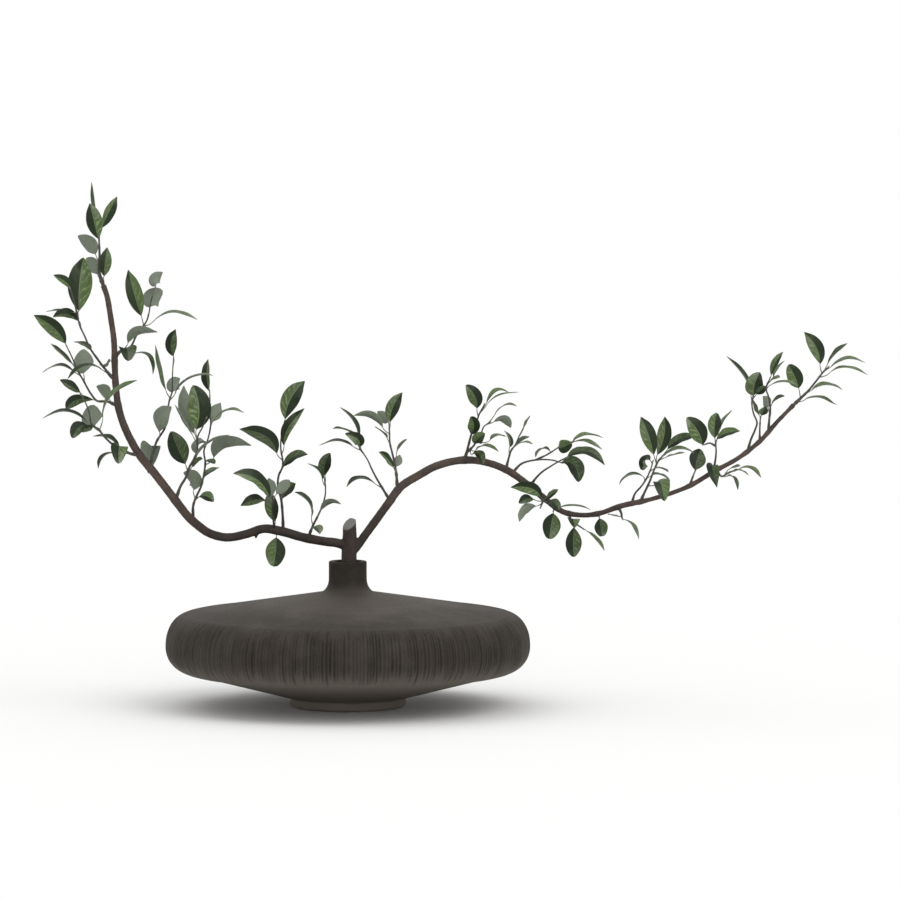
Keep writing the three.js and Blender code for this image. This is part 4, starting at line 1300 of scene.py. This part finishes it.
# --------------------------------------------------------------------------------------------- vase
@dataclass
class Vase:
    """A turned pot, combed with upright strokes round its widest part."""

    radius: float = 200.0
    height: float = 160.0
    wall: float = 7.0
    foot_radius: float = 63.5
    foot_height: float = 10.0
    neck_radius: float = 20.8
    neck_wall: float = 6.0
    neck_bottom: float = 142.0
    shoulder: tuple[float, float] = (31.5, 125.5)
    brow: tuple[float, float] = (173.0, 102.3)
    keel: tuple[float, float] = (168.0, 37.6)
    nose: float = 67.0
    fullness: float = 2.15
    steps: int = 1296
    sectors: int = 12
    comb_seed: int = 11
    comb_gap: tuple[float, float] = (2.9, 5.0)
    comb_depth: tuple[float, float] = (0.36, 0.95)
    comb_top: tuple[float, float] = (96.0, 108.0)
    comb_foot: tuple[float, float] = (38.0, 52.0)
    comb_width: tuple[float, float] = (0.8, 1.35)
    comb_fade: float = 9.0
    comb_skew: float = 1.2
    foot_round: float = 4.5
    lip: float = 1.3

    def rim(self, angle: float) -> tuple[float, float]:
        """A point of the rounded rim.

        Args:
            angle: From -90 degrees at the keel to 90 at the brow, in radians.

        Returns:
            Its radius and height.
        """
        end_radius, end_height = self.keel if angle < 0 else self.brow
        out = abs(math.cos(angle)) ** (2 / self.fullness)
        up = abs(math.sin(angle)) ** (2 / self.fullness)
        return end_radius + (self.radius - end_radius) * out, self.nose + (end_height - self.nose) * up

    def outline(self) -> list[tuple[float, float]]:
        """The section, from the middle of the underside up the outside and down the inside.

        Returns:
            Its points, as radius and height.
        """
        foot, rise, bend, lip = self.foot_radius, self.foot_height, self.foot_round, self.lip
        points = [(0.0, 0.0), (foot * 0.5, 0.0), (foot - bend, 0.0)]
        points += [
            (foot - bend + bend * math.sin(a), bend - bend * math.cos(a))
            for a in np.linspace(0.2, math.pi / 2, 6)
        ]
        points += [(foot, rise * 0.62), (foot - 0.25, rise * 0.8), (foot + 0.5, rise)]
        points += [
            (foot + (self.keel[0] - foot) * t, rise + (self.keel[1] - rise) * t)
            for t in np.linspace(0.02, 0.97, 6)
        ]
        points += [self.rim(a) for a in np.linspace(-math.pi / 2, math.pi / 2, 26)]
        reach = self.brow[0] - self.shoulder[0]
        drop = self.shoulder[1] - self.brow[1]
        slope = np.linspace(0.04, 0.98, 7)
        points += [(self.brow[0] - reach * t, self.brow[1] + drop * t) for t in slope]
        narrowing = self.shoulder[0] - self.neck_radius
        climb = self.neck_bottom - self.shoulder[1]
        for t in np.linspace(0, 1, 9)[1:]:
            turn = math.pi / 2 * t
            out = narrowing * (1 - math.sin(turn)) ** 1.15
            up = climb * (1 - math.cos(turn)) ** 0.9
            points.append((self.neck_radius + out, self.shoulder[1] + up))
        points += [(self.neck_radius, self.height - 8), (self.neck_radius, self.height - lip)]
        bore = self.neck_radius - self.neck_wall
        for a in np.linspace(0, math.pi / 2, 5)[1:]:
            points.append(
                (self.neck_radius - lip + lip * math.cos(a), self.height - lip + lip * math.sin(a))
            )
        for a in np.linspace(math.pi / 2, math.pi, 5):
            points.append((bore + lip + lip * math.cos(a), self.height - lip + lip * math.sin(a)))
        points += [
            (bore, self.neck_bottom - 12),
            (bore + 8, self.shoulder[1] - self.wall - 4),
            (self.brow[0], self.brow[1] - self.wall),
            (self.radius - self.wall, self.nose),
            (self.keel[0], self.keel[1] + self.wall),
            (foot - 6, rise + self.wall),
            (0.0, self.wall),
        ]
        return points

    def comb(self, data: bpy.types.Mesh) -> None:
        """Cuts the strokes into the outside and stores how deep they are.

        Args:
            data: The turned mesh, in metres.
        """
        rng = np.random.default_rng(self.comb_seed)
        turn = 2 * math.pi * self.radius
        gaps = rng.uniform(*self.comb_gap, int(turn / np.mean(self.comb_gap)))
        centres = np.cumsum(gaps) * turn / gaps.sum()
        shallow, deep = self.comb_depth
        depths = shallow + rng.random(len(gaps)) ** self.comb_skew * (deep - shallow)
        widths = rng.uniform(*self.comb_width, len(gaps))
        tops = rng.uniform(*self.comb_top, len(gaps))
        feet = rng.uniform(*self.comb_foot, len(gaps))
        co = np.empty(len(data.vertices) * 3)
        data.vertices.foreach_get("co", co)
        co = co.reshape(-1, 3) / MM
        reach = np.hypot(co[:, 0], co[:, 1])
        place = (np.arctan2(co[:, 1], co[:, 0]) + math.pi) / (2 * math.pi) * turn
        cut = np.zeros(len(co))
        for offset in (-1, 0, 1):
            index = (np.searchsorted(centres, place) + offset) % len(centres)
            gap = np.abs((place - centres[index] + turn / 2) % turn - turn / 2)
            below_top = np.clip((tops[index] - co[:, 2]) / self.comb_fade, 0, 1)
            above_foot = np.clip((co[:, 2] - feet[index]) / self.comb_fade, 0, 1)
            fade = below_top * above_foot
            cut = np.maximum(cut, depths[index] * fade * np.exp(-((gap / widths[index]) ** 2)))
        cut[reach < self.keel[0]] = 0
        co[:, :2] *= (1 - cut / np.maximum(reach, 1))[:, None]
        data.vertices.foreach_set("co", (co * MM).ravel())
        stored = data.attributes.new("groove", "FLOAT", "POINT")
        stored.data.foreach_set("value", (cut / deep).astype(np.float32))
        data.update()

    def build(self, finishes: Finishes) -> None:
        """Makes the vase.

        Args:
            finishes: The arrangement's materials.
        """
        mesh = bmesh.new()
        chain = [mesh.verts.new((r, 0, z)) for r, z in self.outline()]
        edges = [mesh.edges.new(pair) for pair in zip(chain, chain[1:])]
        turn = 2 * math.pi / self.sectors
        steps = self.steps // self.sectors
        bmesh.ops.spin(mesh, geom=chain + edges, cent=(0, 0, 0), axis=(0, 0, 1), angle=turn, steps=steps)
        in_order(mesh)
        sector = list(mesh.faces)
        for i in range(1, self.sectors):
            copied = bmesh.ops.duplicate(mesh, geom=sector)["geom"]
            around = Matrix.Rotation(turn * i, 3, "Z")
            copies = [g for g in copied if isinstance(g, bmesh.types.BMVert)]
            bmesh.ops.rotate(mesh, cent=(0, 0, 0), matrix=around, verts=copies)
        bmesh.ops.remove_doubles(mesh, verts=mesh.verts, dist=1e-3)
        bmesh.ops.recalc_face_normals(mesh, faces=mesh.faces)
        piece = add_piece("vase_turned", mesh, [finishes.stoneware], Slot.STONEWARE, ["vase"], 35)
        self.comb(piece.data)


# ------------------------------------------------------------------------------------------- branch
@dataclass
class Branch:
    """The cutting's wood: stem, pruned stub, two boughs and two snapped spurs, grown as one piece."""

    sides: int = 14
    step: float = 4.0
    weld: float = 0.85
    stub_end: tuple[float, float, float, float] = (2, 0, 216, 7)
    cuts: tuple[tuple[Triple, Triple], ...] = (
        ((2.2, 7, 207), (-0.51, -0.69, 1)),
        ((2.2, 0, 207.6), (0.26, 0, 1)),
    )
    stub_zone: tuple[float, float, float] = (2, 190, 9)
    cut_depth: float = 1.25
    cut_blur: float = 0.6
    knot_reach: float = 5.5
    knot_height: float = 0.6
    lump_height: float = 0.22
    pimple_height: float = 0.10
    ring_height: float = 0.12
    courses: list[Course] = field(default_factory=list)

    def __post_init__(self) -> None:
        """Lays the courses that the sprigs grow from."""
        self.left = Course(LEFT_BOUGH)
        self.right = Course(RIGHT_BOUGH)
        self.stem = Course([*STEM, self.stub_end])
        self.courses = [self.stem, self.left, self.right, *(Course(spur) for spur in SPURS)]

    def host(self, x: float, height: float) -> tuple[Course, Vector]:
        """The bough that looks nearest to (x, height), and the point on it."""
        found = [(course, course.nearest(x, height)[1]) for course in (self.left, self.right)]
        return min(found, key=lambda pair: gap_to(pair[1], x, height))

    def in_stub(self, point: Vector) -> bool:
        """Whether a point is on the pruned stub or just below it."""
        x, bottom, reach = self.stub_zone
        return point.z > bottom and math.hypot(point.x - x, point.y) < reach

    def welded(self, mesh: bmesh.types.BMesh) -> bpy.types.Object:
        """Melts the overlapping runs into one skin.

        Args:
            mesh: The runs, in millimetres.

        Returns:
            The piece, with one closed mesh.
        """
        bmesh.ops.scale(mesh, vec=(MM, MM, MM), verts=mesh.verts)
        rough = bpy.data.meshes.new("branch_rough")
        mesh.to_mesh(rough)
        mesh.free()
        piece = bpy.data.objects.new("branch_wood", rough)
        bpy.context.scene.collection.objects.link(piece)
        weld = piece.modifiers.new("weld", "REMESH")
        weld.mode = "VOXEL"
        weld.voxel_size = self.weld * MM
        soften = piece.modifiers.new("soften", "SMOOTH")
        soften.factor = 0.5
        soften.iterations = 5
        graph = bpy.context.evaluated_depsgraph_get()
        piece.data = bpy.data.meshes.new_from_object(piece.evaluated_get(graph))
        piece.data.name = "branch_wood"
        piece.modifiers.clear()
        bpy.data.meshes.remove(rough)
        return piece

    def texture(self, data: bpy.types.Mesh, knots: Sequence[Vector]) -> None:
        """Raises knots, rings and shallow lumps, and stores what the bark's material reads.

        Args:
            data: The welded mesh, in metres.
            knots: Where the sprigs grow from, in millimetres.
        """
        line = kdtree.KDTree(sum(len(course.samples) for course in self.courses))
        travelled = []
        for course in self.courses:
            for i, sample in enumerate(course.samples):
                line.insert(sample, len(travelled))
                travelled.append(course.length * i / (len(course.samples) - 1))
        line.balance()
        buds = kdtree.KDTree(len(knots))
        for i, knot in enumerate(knots):
            buds.insert(knot, i)
        buds.balance()
        cuts = [(Vector(through), Vector(facing).normalized()) for through, facing in self.cuts]
        along = np.zeros(len(data.vertices), np.float32)
        cut = np.zeros(len(data.vertices), np.float32)
        co = np.zeros((len(data.vertices), 3))
        for i, vertex in enumerate(data.vertices):
            point = vertex.co / MM
            along[i] = travelled[line.find(point)[1]]
            height = self.lump_height * noise.noise(point * 0.09)
            height += self.pimple_height * noise.noise(point * 0.31)
            ring = math.sin(along[i] * 0.46 + 5 * noise.noise(point * 0.02))
            height += self.ring_height * max(ring, 0) ** 6
            height += self.knot_height * math.exp(-((buds.find(point)[2] / self.knot_reach) ** 2) * 1.4)
            if self.in_stub(point):
                off = min(abs((point - through).dot(facing)) for through, facing in cuts)
                cut[i] = min(max((self.cut_depth - off) / self.cut_blur, 0.0), 1.0)
                height += (0.1 * noise.noise(point * 0.8) - height) * cut[i]
            co[i] = (point + vertex.normal * height) * MM
        data.vertices.foreach_set("co", co.ravel())
        for name, values in (("along", along), ("cut", cut)):
            found = data.attributes.get(name) or data.attributes.new(name, "FLOAT", "POINT")
            found.data.foreach_set("value", values)
        data.update()

    def build(self, finishes: Finishes) -> None:
        """Makes the branch.

        Args:
            finishes: The arrangement's materials.
        """
        mesh = bmesh.new()
        for course in self.courses:
            course.tube(mesh, self.sides, self.step, lambda share: 1.0)
        for through, facing in self.cuts:
            stub = [v for v in mesh.verts if self.in_stub(v.co)]
            edges = {e for v in stub for e in v.link_edges}
            faces = {f for v in stub for f in v.link_faces}
            sliced = bmesh.ops.bisect_plane(
                mesh, geom=[*stub, *edges, *faces], plane_co=through, plane_no=facing, clear_outer=True
            )["geom_cut"]
            rim = [g for g in sliced if isinstance(g, bmesh.types.BMEdge)]
            bmesh.ops.holes_fill(mesh, edges=rim, sides=0)
        piece = self.welded(mesh)
        knots = [self.host(*twig.run[0])[1] for sprig in SPRIGS for twig in sprig.twigs[:1]]
        self.texture(piece.data, knots)
        dress(piece, [finishes.bark], Slot.BARK, ["branch"], 70)


# ------------------------------------------------------------------------------------------- leaves
@dataclass
class Foliage:
    """Leaves and twigs: every sprig of the tables becomes a twig piece and a leaf piece."""

    branch: Branch
    finishes: Finishes
    blade_steps: tuple[int, int] = (20, 8)
    thickness: float = 0.55
    fold: float = 0.3
    middle: float = 1.03
    base_power: float = 0.78
    slim_power: float = 0.66
    round_power: float = 0.46
    tip_draw: float = 0.45
    slim_ratio: float = 0.42
    round_ratio: float = 0.6
    twig_thinness: float = 0.8
    stalk_radius: float = 0.5
    stalk_back: float = 3.5
    stalk_reach: float = 6.0
    draw_start: float = 0.82
    curl_start: float = 0.78
    weld: float = 0.02
    twig_sides: int = 9
    twig_step: float = 2.2
    seed: int = 5

    def __post_init__(self) -> None:
        """Cuts the flat blank that every blade is shaped from."""
        self.random = random.Random(self.seed)
        self.blank = bpy.data.meshes.new("blade_blank")
        mesh = bmesh.new()
        mesh.loops.layers.uv.new("UVMap")
        mesh.verts.layers.float.new("along")
        mesh.verts.layers.float.new("tint")
        rows, columns = self.blade_steps
        bmesh.ops.create_grid(mesh, x_segments=rows, y_segments=columns, size=1, calc_uvs=True)
        lower = list(mesh.faces)
        raised = bmesh.ops.extrude_face_region(mesh, geom=lower, use_keep_orig=True)["geom"]
        lifted = [g for g in raised if isinstance(g, bmesh.types.BMVert)]
        bmesh.ops.translate(mesh, vec=(0, 0, 1), verts=lifted)
        in_order(mesh)
        bmesh.ops.recalc_face_normals(mesh, faces=mesh.faces)
        for face in mesh.faces:
            face.material_index = 0 if face.normal.z > 0.5 else 1
        mesh.to_mesh(self.blank)
        mesh.free()

    def width_at(self, share: float, blunt: float) -> float:
        """A blade's width at a share of its length, as a share of the widest.

        Args:
            share: Where along the midrib, from 0 at the base to 1 at the tip.
            blunt: 0 for a slender blade with a drawn-out tip, 1 for a broad and rounded one.

        Returns:
            The width there, from 0 to 1.
        """
        if not 0 < share < 1:
            return 0.0
        tip_power = self.slim_power + (self.round_power - self.slim_power) * blunt
        power = self.base_power + (tip_power - self.base_power) * share
        full = math.sin(math.pi * share**self.middle) ** power
        drawn = max(0.0, (share - self.draw_start) / 0.18)
        return full * (1 - self.tip_draw * (1 - blunt) * drawn)

    def stalk_root(self, twigs: Sequence[Course], row: tuple) -> tuple[Course, float]:
        """Where a leaf's stalk leaves its twig: behind the blade's base, in line with the midrib.

        Args:
            twigs: The sprig's twigs.
            row: The leaf's row in the table.

        Returns:
            The twig and the share of it.
        """
        x, height, middle_x, middle_z = row[:4]
        reach = self.stalk_reach / math.hypot(middle_x - x, middle_z - height)
        behind = (x - (middle_x - x) * reach, height - (middle_z - height) * reach)
        twig = min(twigs, key=lambda run: gap_to(run.nearest(x, height)[1], x, height))
        share = min(twig.nearest(x, height)[0], twig.nearest(*behind)[0]) - self.stalk_back / twig.length
        return twig, min(max(share, twig.outside), 0.98)

    def add_blade(
        self,
        mesh: bmesh.types.BMesh,
        midrib: Callable[[float], Vector],
        faces: tuple[Vector, Vector],
        width: float,
        lit_side: int,
    ) -> None:
        """Shapes one blank into a folded, arched and slightly waved blade.

        Args:
            mesh: The sprig's leaf mesh.
            midrib: The midrib's course, from 0 to 1.
            faces: Where the upper side looks at the base and at the tip.
            width: The blade's width.
            lit_side: 1 or -1, the half that is painted as lit; the other half is painted as shaded.
        """
        draw = self.random
        ripple = draw.uniform(0.03, 0.08)
        waves = draw.uniform(1.2, 2.4)
        phases = (draw.uniform(0, 6.28), draw.uniform(0, 6.28))
        curl = draw.uniform(-0.04, 0.10) * width
        droop = draw.uniform(-0.10, 0.16)
        tint = draw.random() ** 2.2
        twist = draw.uniform(-0.12, 0.12)
        length = (midrib(0.5) - midrib(0.0)).length + (midrib(1.0) - midrib(0.5)).length
        blunt = (width / length - self.slim_ratio) / (self.round_ratio - self.slim_ratio)
        blunt = min(max(blunt, 0.0), 1.0)
        known = len(mesh.verts)
        mesh.from_mesh(self.blank)
        mesh.verts.ensure_lookup_table()
        tone = mesh.verts.layers.float["tint"]
        verts = mesh.verts[known:]
        for vert in verts:
            share, side, layer = (vert.co.x + 1) / 2, -vert.co.y, vert.co.z
            share = share * 0.55 + (0.5 - 0.5 * math.cos(math.pi * share)) * 0.45
            centre = midrib(share)
            tangent = (midrib(min(share + 0.01, 1)) - midrib(max(share - 0.01, 0))).normalized()
            up, across = section(tangent, faces[0].lerp(faces[1], share))
            least = self.stalk_radius if share < 0.5 else 0.0
            half = max(width / 2 * self.width_at(share, blunt), least)
            turned = across + up * (twist * (share - 0.3))
            span = abs(side)
            rise = half * (self.fold * (span**1.2) - droop * span * span)
            wave = half * ripple * span * span * math.sin(6.283 * waves * share + phases[side > 0])
            hook = curl * max(0.0, (share - self.curl_start) / 0.22) ** 2
            skin = (layer - 0.5) * self.thickness * (1 - 0.55 * span) * min(1.0, half / 1.2)
            vert.co = centre + turned * (side * half) + up * (rise + wave + hook + skin)
            vert[tone] = tint
        # Swaps which half is painted as lit.
        if lit_side < 0:
            chart = mesh.loops.layers.uv["UVMap"]
            for loop in {loop for vert in verts for loop in vert.link_loops}:
                loop[chart].uv.y = 1 - loop[chart].uv.y

    def add_leaf(
        self, mesh: bmesh.types.BMesh, twigs: Sequence[Course], row: tuple
    ) -> tuple[Course, float]:
        """Adds a leaf with its stalk.

        Args:
            mesh: The sprig's leaf mesh.
            twigs: The sprig's twigs.
            row: The leaf's row in the table.

        Returns:
            The twig that it grows from, and the share of it.
        """
        base_x, base_z, middle_x, middle_z, tip_x, tip_z, depth, width, words = row[:9]
        twig, share = self.stalk_root(twigs, row)
        root = twig.at(share)
        base = placed(base_x, root.y + depth * 0.12, base_z)
        middle = placed(middle_x, root.y + depth * 0.55, middle_z)
        tip = placed(tip_x, root.y + depth, tip_z)
        bend = middle * 2 - (base + tip) * 0.5
        looks = [Vector(Face[word].value) for word in words.split()]

        def midrib(t: float) -> Vector:
            """A point of the midrib."""
            return base * (1 - t) ** 2 + bend * (2 * t * (1 - t)) + tip * t**2

        reach = base - root
        start = (midrib(0.05) - base).normalized() * (reach.length * 0.4)

        def stalk(t: float, angle: float) -> Vector:
            """Places a vertex of the stalk, which bends into the midrib and ends below the blade.

            Args:
                t: How far along the stalk it is.
                angle: Where it is round the stalk.

            Returns:
                The vertex.
            """
            point = root + (base - start - root) * (2 * t * (1 - t)) + (base - root) * t**2
            if t > 0.999:
                point = midrib(0.06)
            heading = (reach.normalized() * (1 - t) + start.normalized() * t).normalized()
            up, across = section(heading, looks[0])
            size = self.stalk_radius * (1.55 - 0.75 * t)
            return point + across * (size * math.sin(angle)) + up * (size * math.cos(angle) - 0.15)

        for vert in add_tube(mesh, 7, 5, stalk, reach.length):
            for face in vert.link_faces:
                face.material_index = 2
        self.add_blade(mesh, midrib, (looks[0], looks[-1]), width, row[9] if len(row) > 9 else 1)
        return twig, share

    def add_bud(self, mesh: bmesh.types.BMesh, twig: Course) -> None:
        """Adds the pointed bud at a twig's end.

        Args:
            mesh: The sprig's leaf mesh.
            twig: The twig.
        """
        end, heading = twig.at(1.0), twig.tangent(1.0)
        length = 2.6 + twig.radii[-1] * 2
        thick = twig.radii[-1] * 1.25 * self.twig_thinness

        def place(t: float, angle: float) -> Vector:
            """Places a vertex of the bud.

            Args:
                t: How far along the bud it is.
                angle: Where it is round the bud.

            Returns:
                The vertex.
            """
            up, across = section(heading, Vector((0, 1, 0)))
            size = thick * max(math.sin(math.pi * (0.22 + 0.78 * t)), 0.02) ** 0.8
            centre = end + heading * (length * t - 0.6)
            return centre + across * (size * math.sin(angle)) + up * (size * math.cos(angle))

        for vert in add_tube(mesh, 8, 6, place, length):
            for face in vert.link_faces:
                face.material_index = 2

    def grow(self, sprig: Sprig) -> list[Course]:
        """Lays a sprig's twigs.

        Args:
            sprig: The sprig's rows in the table.

        Returns:
            The twigs, the first of which grows from a bough.
        """
        grown: list[Course] = []
        for twig in sprig.twigs:
            foot_x, foot_z = twig.run[0]
            if grown:
                host, foot = grown[0], grown[0].nearest(foot_x, foot_z)[1]
                start = (sprig.girth[0] + sprig.girth[1]) / 2
            else:
                host, foot = self.branch.host(foot_x, foot_z)
                start = sprig.girth[0]
            points = [(foot.x, foot.y, height_of(foot), start)]
            last = len(twig.run) - 1
            for i, (x, height) in enumerate(twig.run[1:], 1):
                share = i / last
                girth = start + (sprig.girth[1] - start) * share
                points.append((x, foot.y + twig.lean * share, height, girth))
            course = Course(points)
            course.outside = min(course.clear_of(host), 0.98)
            grown.append(course)
        return grown

    def build(self, sprig: Sprig) -> None:
        """Makes a sprig's two pieces.

        Args:
            sprig: The sprig's rows in the table.
        """
        twigs = self.grow(sprig)
        leaves = bmesh.new()
        leaves.loops.layers.uv.new("UVMap")
        leaves.verts.layers.float.new("along")
        leaves.verts.layers.float.new("tint")
        nodes = [self.add_leaf(leaves, twigs, row) for row in sprig.leaves]
        for twig in twigs:
            self.add_bud(leaves, twig)
        bmesh.ops.remove_doubles(leaves, verts=leaves.verts, dist=self.weld)
        wood = bmesh.new()
        for twig in twigs:
            marks = [share for host, share in nodes if host is twig]

            def swell(share: float, run: Course = twig, marks: list[float] = marks) -> float:
                """Thickens the twig where a stalk leaves it and where it joins the bough.

                Args:
                    share: The share of the twig.
                    run: The twig.
                    marks: The shares at which stalks leave it.

                Returns:
                    What its radius is multiplied by.
                """
                ring = sum(math.exp(-(((share - mark) * run.length / 1.7) ** 2)) for mark in marks)
                collar = math.exp(-(((share - run.outside) * run.length / 2.6) ** 2))
                return self.twig_thinness * (1 + 0.2 * min(ring, 1.3) + 0.3 * collar)

            twig.tube(wood, self.twig_sides, self.twig_step, swell)
        materials = [self.finishes.upper, self.finishes.under, self.finishes.stalk]
        add_piece(sprig.name + "_leaves", leaves, materials, Slot.FOLIAGE, [sprig.name], 75)
        add_piece(sprig.name + "_twigs", wood, [self.finishes.twig], Slot.BARK, [sprig.name], 60)


# -------------------------------------------------------------------------------------------- stage
@dataclass(frozen=True)
class Lamp:
    """A far, wide lamp: the side it shines from, how wide it looks in degrees, and its strength."""

    name: str
    side: Triple
    spread: float
    power: float


@dataclass
class Stage:
    """A pale floor, soft studio light and the camera."""

    lamps: tuple[Lamp, ...] = (
        Lamp("key", (0.7, -0.45, 1.0), 45, 0.75),
        Lamp("top", (-0.3, 0.35, 1.0), 60, 0.55),
        Lamp("fill", (0.15, -1.0, 0.09), 70, 0.75),
    )
    sky_strength: float = 0.83
    floor_size: float = 40.0
    paper: tuple[Colour, Colour] = ((0.830, 0.830, 0.825), (0.835, 0.835, 0.830))
    elevation: float = 4.6
    distance: float = 9.0
    view_width: float = 0.985
    sensor: float = 36.0
    aim: tuple[float, float, float] = (0.112, 0.0, 0.282)

    def floor(self) -> None:
        """Lays the floor."""
        mesh = bmesh.new()
        bmesh.ops.create_grid(mesh, x_segments=1, y_segments=1, size=self.floor_size)
        data = bpy.data.meshes.new("floor")
        mesh.to_mesh(data)
        mesh.free()
        floor = bpy.data.objects.new("floor", data)
        s = Shader("floor_paper")
        colour = s.mix(s.grain(s.place(), 3, 2), *self.paper)
        data.materials.append(s.finish(Base_Color=colour, Roughness=0.9, Specular_IOR_Level=0.1))
        bpy.context.scene.collection.objects.link(floor)

    def hang(self, lamp: Lamp) -> None:
        """Adds one lamp.

        Args:
            lamp: The lamp.
        """
        light = bpy.data.lights.new(lamp.name, "SUN")
        light.angle = math.radians(lamp.spread)
        light.energy = lamp.power
        hung = bpy.data.objects.new(lamp.name, light)
        hung.rotation_euler = Vector(lamp.side).to_track_quat("Z", "Y").to_euler()
        bpy.context.scene.collection.objects.link(hung)

    def build(self) -> None:
        """Sets everything up."""
        self.floor()
        for lamp in self.lamps:
            self.hang(lamp)
        world = bpy.data.worlds.new("studio")
        world.use_nodes = True
        sky = world.node_tree.nodes["Background"]
        sky.inputs["Color"].default_value = (1, 1, 1, 1)
        sky.inputs["Strength"].default_value = self.sky_strength
        scene = bpy.context.scene
        scene.world = world
        scene.view_settings.view_transform = "Standard"
        camera = bpy.data.cameras.new("camera")
        camera.sensor_width = self.sensor
        camera.lens = self.sensor * self.distance / self.view_width
        camera.clip_end = 100
        eye = bpy.data.objects.new("camera", camera)
        tilt = math.radians(self.elevation)
        back = Vector((0, -math.cos(tilt), math.sin(tilt)))
        eye.location = Vector(self.aim) + back * self.distance
        eye.rotation_euler = (-back).to_track_quat("-Z", "Y").to_euler()
        scene.collection.objects.link(eye)
        scene.camera = eye


def keep_solid(node: str, material: bpy.types.Material) -> None:
    """Gives a plain solid that stays in view its material.

    Args:
        node: The solid's node.
        material: Its finish.
    """
    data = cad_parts[node].data
    data.materials.clear()
    data.materials.append(material)
    log.info("%s: kept", node)


def main() -> None:
    """Builds the arrangement piece by piece."""
    logging.basicConfig(level=logging.INFO, format="%(name)s %(message)s")
    Stage().build()
    finishes = Finishes()
    Vase().build(finishes)
    branch = Branch()
    branch.build(finishes)
    foliage = Foliage(branch, finishes)
    for sprig in SPRIGS:
        foliage.build(sprig)
    for side in ("left", "right"):
        keep_solid(f"wedge_{side}", finishes.split_wood)
    keep_solid("water", finishes.water)


if __name__ == "__main__":
    main()
